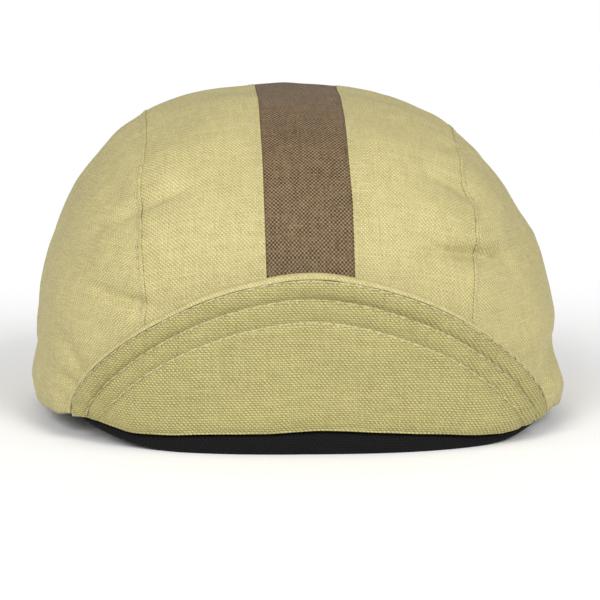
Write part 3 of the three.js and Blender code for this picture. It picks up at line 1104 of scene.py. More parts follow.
@dataclass(frozen=True)
class SewingThread:
    """Twisted cotton thread."""

    name: str
    colour: Colour
    shadow: Colour
    twist_scale: float = 2600.0
    twist_noise: tuple[float, float] = (2.0, 0.6)
    shadow_range: tuple[float, float] = (0.35, 0.65)
    relief: float = 0.00006
    relief_strength: float = 0.6
    sheen: float = 0.2
    roughness: float = 0.7

    def material(self) -> Material:
        """Mixes the thread.

        Returns:
            A material with a fine twist on Object coordinates.
        """
        graph = Graph(self.name)
        place = graph.value("ShaderNodeTexCoord", None, "Object")
        twist = graph.noise(place, self.twist_scale, *self.twist_noise)
        return graph.surface(
            {
                "Base Color": graph.mix(graph.ramp(twist, *self.shadow_range), self.shadow, self.colour),
                "Normal": graph.relief(twist, self.relief, self.relief_strength),
                "Roughness": self.roughness,
                "Sheen Weight": self.sheen,
            }
        )


@dataclass(frozen=True)
class Finishes:
    """Every finish of the cap, made once."""

    straw: Material
    straw_peak: Material
    brown: Material
    mesh: Material
    thread: Material

    @classmethod
    def mixed(cls) -> "Finishes":
        """Makes the materials.

        Returns:
            The finishes.
        """
        # Each linen's third colour is painted shade for the hollows between its threads
        straw = Linen("straw linen", linear(152, 141, 90), linear(200, 189, 136), linear(122, 109, 56))
        straw_peak = Linen(
            "straw linen of the peak",
            linear(118, 110, 64),
            linear(182, 173, 116),
            linear(86, 78, 38),
            warp_pitch=0.655,
            weft_pitch=0.77,
            twist=0.25,
            cross_twist=0.06,
            row_shade=0.28,
            slub=0.42,
            grain=0.85,
            jitter=0.28,
            pit_shade_share=0.8,
        )
        brown = Linen(
            "brown linen",
            linear(48, 34, 20),
            linear(140, 117, 86),
            linear(38, 25, 15),
            warp_pitch=0.634,
            weft_pitch=0.735,
            warp_tone=0.66,
            weft_tone=0.38,
            twist=0.24,
            cross_twist=0.2,
            pit_shade_share=0.7,
            gloss=0.25,
        )
        thread = SewingThread("straw thread", linear(200, 192, 152), linear(150, 142, 102))
        kinds = (straw, straw_peak, brown, StretchMesh(), thread)
        return cls(*(kind.material() for kind in kinds))


# Stitches


class StitchTree:
    """The Geometry Nodes tree that lays sewing stitches along a line."""

    NAME = "stitch row"
    SIZES = ("Pitch", "Length", "Radius", "Arch", "Sink", "Wander")
    BOW_STEPS = 6
    THREAD_SIDES = 6
    SWAY = (0.2, 0.6, 1.0)

    def __init__(self) -> None:
        """Makes the tree, with an input for each size."""
        self.tree = bpy.data.node_groups.new(self.NAME, "GeometryNodeTree")
        face = self.tree.interface
        face.new_socket(name="Line", in_out="INPUT", socket_type="NodeSocketGeometry")
        for name in self.SIZES:
            face.new_socket(name=name, in_out="INPUT", socket_type="NodeSocketFloat")
        face.new_socket(name="Seed", in_out="INPUT", socket_type="NodeSocketInt")
        face.new_socket(name="Thread", in_out="INPUT", socket_type="NodeSocketMaterial")
        face.new_socket(name="Stitches", in_out="OUTPUT", socket_type="NodeSocketGeometry")
        self.given = self.node("NodeGroupInput").outputs
        points, rotation = self.places()
        laid = self.node(
            "GeometryNodeInstanceOnPoints", Points=points, Instance=self.stitch(), Rotation=rotation
        )
        real = self.node("GeometryNodeRealizeInstances", Geometry=laid.outputs[0])
        dressed = self.node(
            "GeometryNodeSetMaterial", Geometry=real.outputs[0], Material=self.given["Thread"]
        )
        self.tree.links.new(dressed.outputs[0], self.node("NodeGroupOutput").inputs[0])

    @classmethod
    def found(cls) -> bpy.types.NodeTree:
        """The tree, made on its first use."""
        return bpy.data.node_groups.get(cls.NAME) or cls().tree

    def node(
        self,
        kind: str,
        settings: dict[str, str] | None = None,
        numbered: dict[int, Socket | float | tuple[float, ...]] | None = None,
        **named: Socket | float,
    ) -> bpy.types.Node:
        """Adds a node, with its settings first and then its sockets.

        Args:
            kind: The node's Blender type.
            settings: Values of the node's own properties.
            numbered: A value or a source for each socket, by its number.
            **named: The same by the socket's name.

        Returns:
            The node.
        """
        made = self.tree.nodes.new(kind)
        for key, value in (settings or {}).items():
            setattr(made, key, value)
        for key, value in {**(numbered or {}), **named}.items():
            if isinstance(value, Socket):
                self.tree.links.new(value, made.inputs[key])
            else:
                made.inputs[key].default_value = value
        return made

    def scaled(self, name: str, factor: float) -> Socket:
        """A size times a factor."""
        made = self.node("ShaderNodeMath", {"operation": "MULTIPLY"}, {0: self.given[name], 1: factor})
        return made.outputs[0]

    def stitch(self) -> Socket:
        """One stitch: a thread bowed from one hole over to the next.

        Returns:
            Its mesh, which runs along X and rises along Z.
        """
        down = self.scaled("Sink", -1.0)
        start = self.node("ShaderNodeCombineXYZ", X=self.scaled("Length", -0.5), Z=down)
        middle = self.node("ShaderNodeCombineXYZ", Z=self.given["Arch"])
        end = self.node("ShaderNodeCombineXYZ", X=self.scaled("Length", 0.5), Z=down)
        bow = self.node(
            "GeometryNodeCurveQuadraticBezier",
            Resolution=self.BOW_STEPS,
            Start=start.outputs[0],
            Middle=middle.outputs[0],
            End=end.outputs[0],
        )
        ring = self.node(
            "GeometryNodeCurvePrimitiveCircle", Resolution=self.THREAD_SIDES, Radius=self.given["Radius"]
        )
        thread = self.node("GeometryNodeCurveToMesh", None, {0: bow.outputs[0], 1: ring.outputs[0]})
        thread.inputs["Fill Caps"].default_value = True
        return self.node("GeometryNodeSetShadeSmooth", Geometry=thread.outputs[0]).outputs[0]

    def sway(self) -> Socket:
        """A small turn for each stitch, fixed by the seed.

        Returns:
            The turns.
        """
        scale = {"operation": "SCALE"}
        low, high = (
            self.node("ShaderNodeVectorMath", scale, {0: most}, Scale=self.given["Wander"])
            for most in (tuple(-angle for angle in self.SWAY), self.SWAY)
        )
        random = self.node(
            "FunctionNodeRandomValue",
            {"data_type": "FLOAT_VECTOR"},
            {0: low.outputs[0], 1: high.outputs[0]},
            Seed=self.given["Seed"],
        )
        return self.node("FunctionNodeEulerToRotation", Euler=random.outputs[0]).outputs[0]

    def places(self) -> tuple[Socket, Socket]:
        """Where the stitches lie.

        Returns:
            A point for each stitch, and its turn: along the line, facing outwards, and swayed.
        """
        line = self.node("GeometryNodeMeshToCurve", Mesh=self.given["Line"])
        steps = self.node(
            "GeometryNodeCurveToPoints",
            {"mode": "LENGTH"},
            Curve=line.outputs[0],
            Length=self.given["Pitch"],
        )
        vector = {"data_type": "FLOAT_VECTOR"}
        outward = self.node("GeometryNodeInputNamedAttribute", vector, Name="outward")
        facing = self.node(
            "FunctionNodeAxesToRotation",
            {"primary_axis": "Z", "secondary_axis": "X"},
            {0: outward.outputs[0], 1: steps.outputs["Tangent"]},
        )
        turned = self.node(
            "FunctionNodeRotateRotation",
            {"rotation_space": "LOCAL"},
            {0: facing.outputs[0], 1: self.sway()},
        )
        return steps.outputs["Points"], turned.outputs[0]


@dataclass(frozen=True)
class StitchRow:
    """Sizes of a row of sewing stitches, in millimetres, and how far they wander, in radians."""

    pitch: float = 3.7
    length: float = 3.0
    radius: float = 0.2
    arch: float = 0.4
    sink: float = 0.12
    wander: float = 0.05

    def guide(self, name: str, line: Pair) -> Thing:
        """Makes the line that the stitches follow.

        Args:
            name: The piece's name.
            line: The line's points in millimetres and the outward direction at each.

        Returns:
            The line as an object, linked to the scene.
        """
        points, outward = line
        edges = [(k, k + 1) for k in range(len(points) - 1)]
        mesh = bpy.data.meshes.new(f"{name} guide")
        mesh.from_pydata((points * MILLIMETRE).tolist(), edges, [])
        attribute = mesh.attributes.new("outward", "FLOAT_VECTOR", "POINT")
        attribute.data.foreach_set("vector", outward.astype(np.float32).ravel())
        return linked(mesh.name, mesh)

    def sew(self, name: str, line: Pair, thread: Material, seed: int) -> Thing:
        """Sews along a line.

        Args:
            name: The piece's name.
            line: The line's points in millimetres and the outward direction at each.
            thread: The stitches' material.
            seed: Picks the way the stitches wander.

        Returns:
            The stitches as one plain mesh object.
        """
        guide = self.guide(name, line)
        modifier = guide.modifiers.new("stitches", "NODES")
        modifier.node_group = StitchTree.found()
        wanted = {
            "Pitch": self.pitch * MILLIMETRE,
            "Length": self.length * MILLIMETRE,
            "Radius": self.radius * MILLIMETRE,
            "Arch": self.arch * MILLIMETRE,
            "Sink": self.sink * MILLIMETRE,
            "Wander": self.wander,
            "Seed": seed,
            "Thread": thread,
        }
        for socket in modifier.node_group.interface.items_tree:
            if socket.in_out == "INPUT" and socket.name in wanted:
                modifier[socket.identifier] = wanted[socket.name]
        depsgraph = bpy.context.evaluated_depsgraph_get()
        mesh = bpy.data.meshes.new_from_object(guide.evaluated_get(depsgraph))
        mesh.name = name
        line_mesh = guide.data
        bpy.data.objects.remove(guide)
        bpy.data.meshes.remove(line_mesh)
        return linked(name, mesh)


# The crown


@dataclass(frozen=True)
class Sewing:
    """Sizes of the seams and of the cloth beside them, in millimetres.

    A reach is where a ridge beside a seam ends, as a share of the stitches' distance from the seam.
    """

    cloth: float = 1.6
    gap: float = 0.012
    edge_radius: float = 0.16
    stripe_edge_share: float = 0.8
    most_fall: float = 0.4
    seam_stitch: float = 1.8
    seam_ridge: float = 0.3
    seam_reach: float = 1.05
    seam_dip: float = 0.08
    seam_dip_width: float = 1.3
    stripe_stitch: float = 1.5
    stripe_ridge: float = 0.07
    stripe_reach: float = 1.3
    stripe_sink: float = 0.1
    groove: float = 0.22
    groove_width: float = 0.5
    stripe_groove: float = 0.6
    stripe_groove_width: float = 0.4
    pucker: float = 0.24
    pucker_pitch: float = 7.5
    pucker_reach: float = 7.0
    pucker_seed: int = 21
    hem_radius: float = 0.6
    seam_row: StitchRow = StitchRow(pitch=3.6, length=2.9)
    seam_seed: int = 30
    stripe_row: StitchRow = StitchRow(pitch=3.9, length=3.0, radius=0.17, arch=0.26)
    stripe_seed: int = 40


@dataclass(frozen=True)
class Crown:
    """The crown: two side panels, two centre strips and the stripe, with their stitches.

    The lengths, heights and widths of the pieces only set how many rows a grid has. The two `across`
    values are the distances from the centre line at which the cloth's length is measured.
    """

    form: CrownForm
    finishes: Finishes
    sewing: Sewing = Sewing()
    step: float = 1.15
    side_length: float = 250.0
    side_height: float = 85.0
    strip_width: float = 40.0
    centre_length: float = 330.0
    stripe_columns: int = 29
    turn_samples: int = 721
    line_samples: int = 900
    line_turns: tuple[float, float] = (1.0, 179.0)
    line_spread: float = 0.3
    strip_across: float = 30.0
    seam_across: float = 53.0
    side_middle: tuple[float, float, float] = (0.0, 9.0, 30.0)
    side_reach: float = 92.0
    side_apart: float = 200.0
    broad: Unevenness = Unevenness(wavelength=34.0, depth=0.3, seed=11)
    fine: Unevenness = Unevenness(wavelength=9.0, depth=0.06, seed=12)

    def slant(self, turn: Array, across: Array, side: Side) -> Array:
        """The length of cloth for each millimetre across, at a place."""
        step = self.form.point(turn, across + 0.5, side) - self.form.point(turn, across - 0.5, side)
        return np.linalg.norm(step, axis=-1)

    def run(self, turn: Array, across: float, side: Side) -> Array:
        """The length of cloth from the front edge over the crown.

        Args:
            turn: The turns to which it is measured.
            across: The distance from the centre line.
            side: The side of the centre line.

        Returns:
            The length to each turn.
        """
        turns = np.linspace(0.0, 180.0, self.turn_samples)
        line = self.form.point(turns, np.full(turns.shape, across), side)
        return np.interp(turn, turns, travelled(line))

    def puckers(self, turn: Array, distance: Array, side: Side) -> Array:
        """The rise of the small puckers that a side seam draws in the cloth beside it.

        Args:
            turn: Turns of the places.
            distance: Their distances from the seam.
            side: The seam's side.

        Returns:
            The rise at each place.
        """
        along = self.run(turn, self.seam_across, side)
        wave = SeamWave(self.sewing.pucker_pitch, self.sewing.pucker_seed + side.value).at(along)
        return self.sewing.pucker * wave * np.exp(-distance / self.sewing.pucker_reach)

    def uneven(self, points: Array) -> Array:
        """The cloth's own unevenness."""
        return self.broad.at(points) + self.fine.at(points)

    def hem_fall(self, points: Array) -> Array:
        """How far the turned lower edge rounds in at each face of the wall."""
        edge = self.form.edge_height(points[..., 0], points[..., 1])
        return rolled(points[..., 2] - edge, self.sewing.hem_radius)

    def side_skin(self, turn: Array, across: Array, side: Side) -> Skin:
        """A grid of a side panel's outer face.

        Args:
            turn: Turns of the grid's points.
            across: Their distances from the centre line.
            side: The panel's side.

        Returns:
            The points, their normals, and how far the edges round in there.
        """
        sewing = self.sewing
        points = self.form.point(turn, across, side)
        normals = grid_normals(points)
        seam = self.form.seam(turn, side)
        distance = (across - seam) * self.slant(turn, seam, side)
        lift = sewing.seam_ridge * plateau(distance, sewing.seam_stitch * sewing.seam_reach)
        lift -= sewing.groove * bump(distance - sewing.seam_stitch, sewing.groove_width)
        lift += self.puckers(turn, distance, side) + self.uneven(points)
        fall = rolled(distance - sewing.gap, sewing.edge_radius) + self.hem_fall(points)
        return points + normals * lift[..., None], normals, fall

    def centre_skin(self, turn: Array, across: Array, side: Side) -> Skin:
        """A grid of a centre strip's outer face.

        Args:
            turn: Turns of the grid's points.
            across: Their distances from the centre line.
            side: The strip's side.

        Returns:
            The points, their normals, and how far the edges round in there.
        """
        sewing = self.sewing
        points = self.form.point(turn, across, side)
        normals = grid_normals(points)
        seam = self.form.seam(turn, side)
        to_seam = (seam - across) * self.slant(turn, seam, side)
        to_stripe = across - self.form.stripe_edge(turn, side)
        lift = -sewing.seam_dip * np.exp(-np.maximum(to_seam, 0.0) / sewing.seam_dip_width)
        lift += sewing.stripe_ridge * plateau(to_stripe, sewing.stripe_stitch * sewing.stripe_reach)
        groove = sewing.stripe_groove * sewing.groove
        lift -= groove * bump(to_stripe - sewing.stripe_stitch, sewing.stripe_groove_width)
        lift += self.puckers(turn, to_seam, side) + self.uneven(points)
        fall = rolled(to_seam - sewing.gap, sewing.edge_radius)
        fall = fall + rolled(to_stripe - sewing.gap, sewing.edge_radius * sewing.stripe_edge_share)
        return points + normals * lift[..., None], normals, fall + self.hem_fall(points)

    def wall(self, skin: Skin) -> Pair:
        """The two faces of a wall.

        Args:
            skin: The outer face, as side_skin gives it.

        Returns:
            The outer and the inner face's points, with the edges rounded in.
        """
        points, normals, fall = skin
        fall = np.minimum(fall, self.sewing.cloth * self.sewing.most_fall)[..., None]
        return points - normals * fall, points - normals * (self.sewing.cloth - fall)

    def side_panel(self, side: Side) -> Thing:
        """Builds a D-shaped side panel on a square grid that is spread over a half disc.

        Args:
            side: The panel's side.

        Returns:
            The panel.
        """
        columns = spaced(self.side_length, self.step, True)
        rows = spaced(self.side_height, self.step, False)
        u, v = np.meshgrid(2.0 * columns - 1.0, rows, indexing="ij")
        along, above = u * np.sqrt(1.0 - v * v / 2.0), v * np.sqrt(1.0 - u * u / 2.0)
        turn = np.degrees(np.arctan2(above, -along))
        edge = self.form.share(turn, self.form.seam(turn, side) + self.sewing.gap, side)
        across = self.form.across(turn, edge * np.hypot(along, above), side)
        outer, inner = self.wall(self.side_skin(turn, across, side))
        cloth = self.side_cloth(outer, side)
        return wall_object(f"cloth_side_{side.word}", outer, inner, cloth, self.finishes.straw)

    def side_cloth(self, points: Array, side: Side) -> Array:
        """The flat side panel, laid out round the panel's middle.

        Args:
            points: Points of the panel.
            side: The panel's side.

        Returns:
            Each point's place on the flat cloth.
        """
        away = points - np.array(self.side_middle)
        away /= np.linalg.norm(away, axis=-1, keepdims=True)
        angle = np.arccos(np.clip(away[..., 0] * side.value, -1.0, 1.0))
        heading = np.arctan2(away[..., 2], away[..., 1])
        reach = self.side_reach * angle
        along = reach * np.cos(heading) + self.side_apart * side.value
        return np.stack([along, reach * np.sin(heading)], axis=-1)

    def centre_strip(self, side: Side) -> Thing:
        """Builds the linen strip between the stripe and a side seam.

        Args:
            side: The strip's side.

        Returns:
            The strip.
        """
        turns = self.turns()
        low = self.form.stripe_edge(turns, side) + self.sewing.gap
        high = self.form.seam(turns, side) - self.sewing.gap
        shares = spaced(self.strip_width, self.step, True)
        across = low + (high - low) * shares[:, None]
        grid = np.broadcast_to(turns, across.shape)
        outer, inner = self.wall(self.centre_skin(grid, across, side))
        cloth = np.stack([across * side.value, self.run(grid, self.strip_across, side)], axis=-1)
        return wall_object(f"cloth_centre_{side.word}", outer, inner, cloth, self.finishes.straw)

    def turns(self) -> Array:
        """Turns over the crown from edge to edge.

        Returns:
            The turns, evenly spaced along the cloth and closer together at both edges.
        """
        shares = spaced(self.centre_length, self.step, True)
        turns = np.linspace(0.0, 180.0, self.turn_samples)
        lengths = self.run(turns, self.strip_across, Side.LEFT)
        return np.interp(shares * lengths[-1], lengths, turns)

    def stripe(self) -> Thing:
        """Builds the brown stripe, set a little lower than the linen beside it.

        Returns:
            The stripe.
        """
        turns = self.turns()
        low = self.sewing.gap - self.form.stripe_edge(turns, Side.LEFT)
        high = self.form.stripe_edge(turns, Side.RIGHT) - self.sewing.gap
        across = low + (high - low) * np.linspace(0.0, 1.0, self.stripe_columns)[:, None]
        grid = np.broadcast_to(turns, across.shape)
        left = self.form.point(grid, np.abs(across), Side.LEFT)
        right = self.form.point(grid, np.abs(across), Side.RIGHT)
        points = np.where(across[..., None] < 0, left, right)
        normals = grid_normals(points)
        lift = self.uneven(points) - self.sewing.stripe_sink
        outer, inner = self.wall((points + normals * lift[..., None], normals, self.hem_fall(points)))
        cloth = np.stack([across, self.run(grid, 0.0, Side.LEFT)], axis=-1)
        return wall_object("cloth_stripe", outer, inner, cloth, self.finishes.brown)

    def seam_line(self, side: Side) -> Pair:
        """The topstitch line beside a side seam.

        Args:
            side: The seam's side.

        Returns:
            The line's points and the outward direction at each.
        """
        turns = np.linspace(*self.line_turns, self.line_samples)
        seam = self.form.seam(turns, side)
        across = seam + self.sewing.seam_stitch / self.slant(turns, seam, side) + self.beside()
        points, normals, _ = self.side_skin(np.broadcast_to(turns, across.shape), across, side)
        return points[1], normals[1]

    def stripe_line(self, side: Side) -> Pair:
        """The edge-stitch line beside the stripe.

        Args:
            side: The side of the stripe.

        Returns:
            The line's points and the outward direction at each.
        """
        turns = np.linspace(*self.line_turns, self.line_samples)
        across = self.form.stripe_edge(turns, side) + self.sewing.stripe_stitch + self.beside()
        points, normals, _ = self.centre_skin(np.broadcast_to(turns, across.shape), across, side)
        return points[1], normals[1]

    def beside(self) -> Array:
        """Offsets that put a row of points on each side of a line, so that it has normals."""
        return np.array([-self.line_spread, 0.0, self.line_spread])[:, None]

    def build(self) -> list[Made]:
        """Builds the crown.

        Returns:
            Each piece with the nodes that it stands for and its material slot.
        """
        sewing, thread = self.sewing, self.finishes.thread
        made = [(self.stripe(), ("centre_stripe",), "stripe_linen")]
        for side in Side:
            made.append((self.side_panel(side), (f"side_panel_{side.word}",), "crown_linen"))
            made.append((self.centre_strip(side), (f"centre_strip_{side.word}",), "crown_linen"))
            for seam, row, line, seed in (
                ("seam", sewing.seam_row, self.seam_line(side), sewing.seam_seed),
                ("stripe", sewing.stripe_row, self.stripe_line(side), sewing.stripe_seed),
            ):
                stitches = row.sew(f"stitches_{seam}_{side.word}", line, thread, seed + side.value)
                made.append((stitches, (), "crown_linen"))
        return made


# The peak


class QuiltRow(Option):
    """A row of quilting on the peak, counted from the rim."""

    FIRST = 0
    SECOND = 1
    THIRD = 2


@dataclass(frozen=True)
class Peak:
    """The peak, turned up against the crown: two linen covers, quilted with rows of stitches."""

    form: CrownForm
    finishes: Finishes
    half_width: dict[Side, float] = field(default_factory=lambda: {Side.LEFT: 73.6, Side.RIGHT: 75.3})
    rim_height: float = 52.5
    rim_roundness: float = 1.8
    rim_steepness: float = 0.555
    behind: float = 0.8
    cover: float = 1.3
    thickness: float = 3.15
    lean: float = 5.0
    end_inset: float = 0.999
    gap: float = 0.05
    strip_proud: float = 1.1
    strip_share: float = 0.82
    roll_share: float = 0.75
    roll_most: float = 2.0
    strip_round: tuple[tuple[float, float], ...] = (
        (0.9, 0.02), (0.96, 0.08), (0.99, 0.2), (1.0, 0.4), (1.0, 1.2),
    )
    cover_edge_radius: float = 0.3
    root_edge_radius: float = 0.5
    most_fall: float = 0.5
    fullness: Table = Table(
        ("share", "ridge"),
        [(-1.0, 1.4), (-0.5, 1.05), (-0.2, 1.05), (0.1, 1.45), (0.4, 1.4), (0.75, 1.15), (1.0, 1.35)],
    )
    end_swell: dict[Side, float] = field(default_factory=lambda: {Side.LEFT: 0.3, Side.RIGHT: 2.2})
    swell_start: float = 0.4
    swell_run: float = 0.5
    swell_inset: float = 9.5
    rim_row_sink: float = 0.5
    rim_row_width: float = 0.7
    pucker: float = 0.12
    pucker_pitch: float = 5.5
    pucker_reach: float = 2.2
    pucker_slant: float = 0.25
    pucker_seed: int = 61
    groove: float = 0.12
    groove_width: float = 0.4
    stitch_row: StitchRow = StitchRow(pitch=4.4, length=3.6, radius=0.26, arch=0.6, wander=0.09)
    stitch_seed: int = 50
    broad: Unevenness = Unevenness(wavelength=16.0, depth=0.12, seed=71)
    fine: Unevenness = Unevenness(wavelength=6.0, depth=0.035, seed=72)
    rim_waver: Unevenness = Unevenness(wavelength=14.0, depth=0.06, seed=81)
    last_stitch: float = 1.9
    row_slack: float = 0.5
    under_cloth: tuple[float, float] = (0.0, 400.0)
    top_cloth: tuple[float, float] = (0.0, 500.0)
    columns: int = 250
    step: float = 0.68
    face_height: float = 48.0
    face_crowding: float = 1.05
    back_rows: int = 44
    back_top: float = 0.98
    roll_rows: int = 15
    inside_rows: int = 46
    rim_samples: int = 500
    line_samples: int = 900
    root_reach: float = 85.0
    root_samples: int = 1701
    rows: Table = Table(
        ("share", "first", "second", "third"),
        [
            (-1.0, 2.2, 8.6, 14.0),
            (-0.93, 2.1, 7.9, 13.8),
            (-0.78, 2.05, 7.8, 13.8),
            (-0.45, 2.3, 8.4, 15.4),
            (0, 2.45, 8.8, 16.3),
            (0.45, 2.15, 8.4, 15.4),
            (0.78, 1.7, 7.8, 13.8),
            (0.93, 1.55, 8.0, 13.8),
            (1.0, 1.5, 8.8, 14.0),
        ],
    )
    quilting: Table = Table(
        ("inset", "proud"),
        [
            (2.0, 1.0), (2.45, 0.9), (3.1, 1.25), (4.2, 1.3), (5.8, 1.05), (7.0, 0.6),
            (7.9, 0.0), (8.5, -0.65), (8.8, -0.65), (9.3, -0.1), (10.3, 0.3), (11.8, 0.3),
            (13.8, 0.05), (15.0, -0.25), (15.9, -0.7), (16.3, -0.7), (16.9, -0.35),
            (18.6, -0.05), (24.0, 0.0), (60.0, 0.0),
        ],
    )
    root_roll: Table = Table(("above", "back"), [(0, 1.5), (2, 0.7), (5, 0.2), (9, 0.0)])

    def by_side(self, values: dict[Side, float], x: Array) -> Array:
        """The value of the side that each x lies on."""
        return np.where(x < 0, values[Side.LEFT], values[Side.RIGHT])

    def half(self, x: Array) -> Array:
        """The root's half width on the side that each x lies on."""
        return self.by_side(self.half_width, x)

    def share(self, x: Array) -> Array:
        """How far along the rim a place at the rim lies: -1 at the left end, 1 at the right end."""
        return x / self.half(x)

    def rim(self, x: Array) -> Array:
        """The rim's height over the root."""
        share = np.minimum(np.abs(x) / self.half(x), 1.0)
        return self.rim_height * (1.0 - share**self.rim_roundness) ** self.rim_steepness

    def inset(self, x: Array, distance: Array | float) -> Pair:
        """Places that lie a distance in from the rim.

        Args:
            x: Where on the rim each is measured from, as distance across.
            distance: How far in each lies.

        Returns:
            The places' distances across and their heights over the root.
        """
        stretch = self.form.front_plan(x)[2]
        slope = (self.rim(x + SLOPE_STEP) - self.rim(x - SLOPE_STEP)) / (2.0 * SLOPE_STEP * stretch)
        steep = np.hypot(1.0, slope)
        return x + (slope / steep) * (distance / stretch), self.rim(x) - distance / steep

    def stations(self, count: int) -> Array:
        """Distances across along the rim, closer together towards its ends."""
        across = np.sin(np.radians(90.0 * np.linspace(-1.0, 1.0, count)))
        return self.half(across) * self.end_inset * across

    def place(self, x: Array, above: Array, depth: Array | float) -> Array:
        """Points of the peak.

        Args:
            x: Distances across.
            above: Heights over the root.
            depth: Depths behind the plain face, below 0 in front of it.

        Returns:
            The points, one more axis of 3 than the arguments have.
        """
        points, outward, _ = self.form.front_plan(x)
        rise = self.form.edge_rise(points[..., 0], points[..., 1], above) + above
        around = self.form.around(points[..., 0], points[..., 1])
        stand = self.form.hem.read("flare", around) + self.behind + self.thickness - depth
        points = points + outward * (stand + above * np.tan(np.radians(self.lean)))[..., None]
        points[..., 2] = self.form.edge_level(points[..., 0], points[..., 1]) + rise
        return points

    def unrolled(self, x: Array, above: Array) -> Array:
        """Places on the flat peak.

        Args:
            x: Distances across.
            above: Heights over the root.

        Returns:
            Each place's length along the root from the centre line, and its height.
        """
        fine = np.linspace(-self.root_reach, self.root_reach, self.root_samples)
        spacing = 2.0 * self.root_reach / (self.root_samples - 1)
        lengths = np.concatenate([[0.0], np.cumsum(self.form.front_plan(fine)[2][1:] * spacing)])
        return np.stack([np.interp(x, fine, lengths) - lengths[self.root_samples // 2], above], axis=-1)

    def strip_edge(self, x: Array) -> Array:
        """The width of the upper cover's strip round the rim."""
        return self.strip_share * self.rows.read("first", self.share(x))

    def from_rim(self, x: Array, above: Array) -> Pair:
        """How places lie to the rim, measured over the flat peak.

        Args:
            x: The places' distances across.
            above: Their heights over the root.

        Returns:
            Each place's distance from the rim, and the x of the nearest rim.
        """
        rim_x = self.stations(self.rim_samples)
        line = self.unrolled(rim_x, self.rim(rim_x))
        places = self.unrolled(x, above).reshape(-1, 2)
        nearest, nearest_x = np.full(len(places), np.inf), np.zeros(len(places))
        for start, end, near_x in zip(line[:-1], line[1:], rim_x):
            run = end - start
            share = np.clip((places - start) @ run / (run @ run), 0.0, 1.0)
            gap = places - start - share[:, None] * run
            far = np.einsum("ij,ij->i", gap, gap)
            nearest_x = np.where(far < nearest, near_x, nearest_x)
            nearest = np.minimum(nearest, far)
        return np.sqrt(nearest).reshape(x.shape), nearest_x.reshape(x.shape)

    def quilt_place(self, distance: Array, rim_x: Array) -> Array:
        """The inset in the quilting's table that matches a distance from the rim.

        Args:
            distance: Distances from the rim.
            rim_x: The x of the rim nearest to each place.

        Returns:
            The insets, stretched so that the rows of stitches fall on the table's grooves.
        """
        share = self.share(rim_x)
        places = np.zeros(distance.shape)
        before, before_there = np.zeros(distance.shape), 0.0
        for row in QuiltRow:
            here, there = self.rows.read(row.word, share), float(self.rows.read(row.word, 0.0))
            part = np.clip((distance - before) / (here - before), 0.0, 1.0)
            places += part * (there - before_there)
            before, before_there = here, there
        return places + np.maximum(distance - before, 0.0)

    def proud(self, x: Array, above: Array, distance: Array, rim_x: Array) -> Array:
        """How far the quilted underside stands out.

        Args:
            x: Distances across.
            above: Heights over the root.
            distance: Distances from the rim.
            rim_x: The x of the rim nearest to each place.

        Returns:
            The rise of the cloth over its plain face.
        """
        along = self.unrolled(x, above)[..., 0]
        quilted = self.quilt_place(distance, rim_x)
        share = self.share(rim_x)
        ridges = self.fullness.read("ridge", share) * self.quilting.read("proud", quilted)
        rise = ridges - self.root_roll.read("back", above)
        towards_end = smooth((np.abs(self.share(x)) - self.swell_start) / self.swell_run)
        rise = rise + self.by_side(self.end_swell, x) * towards_end * smooth(distance / self.swell_inset)
        from_first = distance - self.rows.read(QuiltRow.FIRST.word, share)
        rise = rise - self.rim_row_sink * np.abs(share) * bump(from_first, self.rim_row_width)
        for row in QuiltRow:
            from_row = quilted - float(self.rows.read(row.word, 0.0))
            wave = SeamWave(self.pucker_pitch + row.value, self.pucker_seed + row.value)
            puckers = wave.at(along + self.pucker_slant * above)
            rise = rise + self.pucker * puckers * np.exp(-np.abs(from_row) / self.pucker_reach)
            rise = rise - self.groove * bump(from_row, self.groove_width)
        face = self.place(x, above, 0.0)
        return rise + self.broad.at(face) + self.fine.at(face)

    def under_cover(self) -> Thing:
        """Builds the quilted underside, which faces forward.

        Returns:
            The cover.
        """
        start = self.stations(self.columns)
        shares = spaced(self.face_height, self.step, True) ** self.face_crowding
        x, top = self.inset(start, self.strip_edge(start) + self.gap)
        x = np.broadcast_to(x[:, None], (len(start), len(shares)))
        above = top[:, None] * (1.0 - shares)
        distance, rim_x = self.from_rim(x, above)
        from_edge = distance - self.strip_edge(rim_x) - self.gap
        fall = rolled(from_edge, self.cover_edge_radius) + rolled(above, self.root_edge_radius)
        rise = self.proud(x, above, distance, rim_x) - np.minimum(fall, self.most_fall)
        outer = self.place(x, above, -rise)
        inner = self.place(x, above, np.full(x.shape, self.cover))
        cloth = self.unrolled(x, above) + np.array(self.under_cloth)
        return wall_object("cloth_peak_under", outer, inner, cloth, self.finishes.straw_peak)

    def top_sections(self) -> list[tuple[Array, Array, Array]]:
        """The upper cover's outline at each station: up its back, over the rim and down its inside.

        Returns:
            The outline's places, each as distances across, heights over the root and depths.
        """
        start = self.stations(self.columns)
        level = np.ones(start.shape)
        edge = self.strip_edge(start)
        roll_inset = np.minimum(self.roll_share * edge, self.roll_most)
        middle = (self.thickness - self.strip_proud) / 2.0
        half = (self.thickness + self.strip_proud) / 2.0
        x_lip, top = self.inset(start, edge)
        back = np.linspace(0.0, self.back_top, self.back_rows)
        places = [(x_lip, top * up, level * self.thickness) for up in back]
        for angle in np.radians(np.linspace(0.0, 180.0, self.roll_rows)):
            x, above = self.inset(start, roll_inset * (1.0 - np.sin(angle)))
            places.append((x, above, level * (middle + half * np.cos(angle))))
        for across, depth in self.strip_round:
            x, above = self.inset(start, edge * across)
            places.append((x, above, level * (depth - self.strip_proud)))
        tuck = level * (self.thickness - self.cover)
        return places + [(x_lip, top * up, tuck) for up in np.linspace(1.0, 0.0, self.inside_rows)]

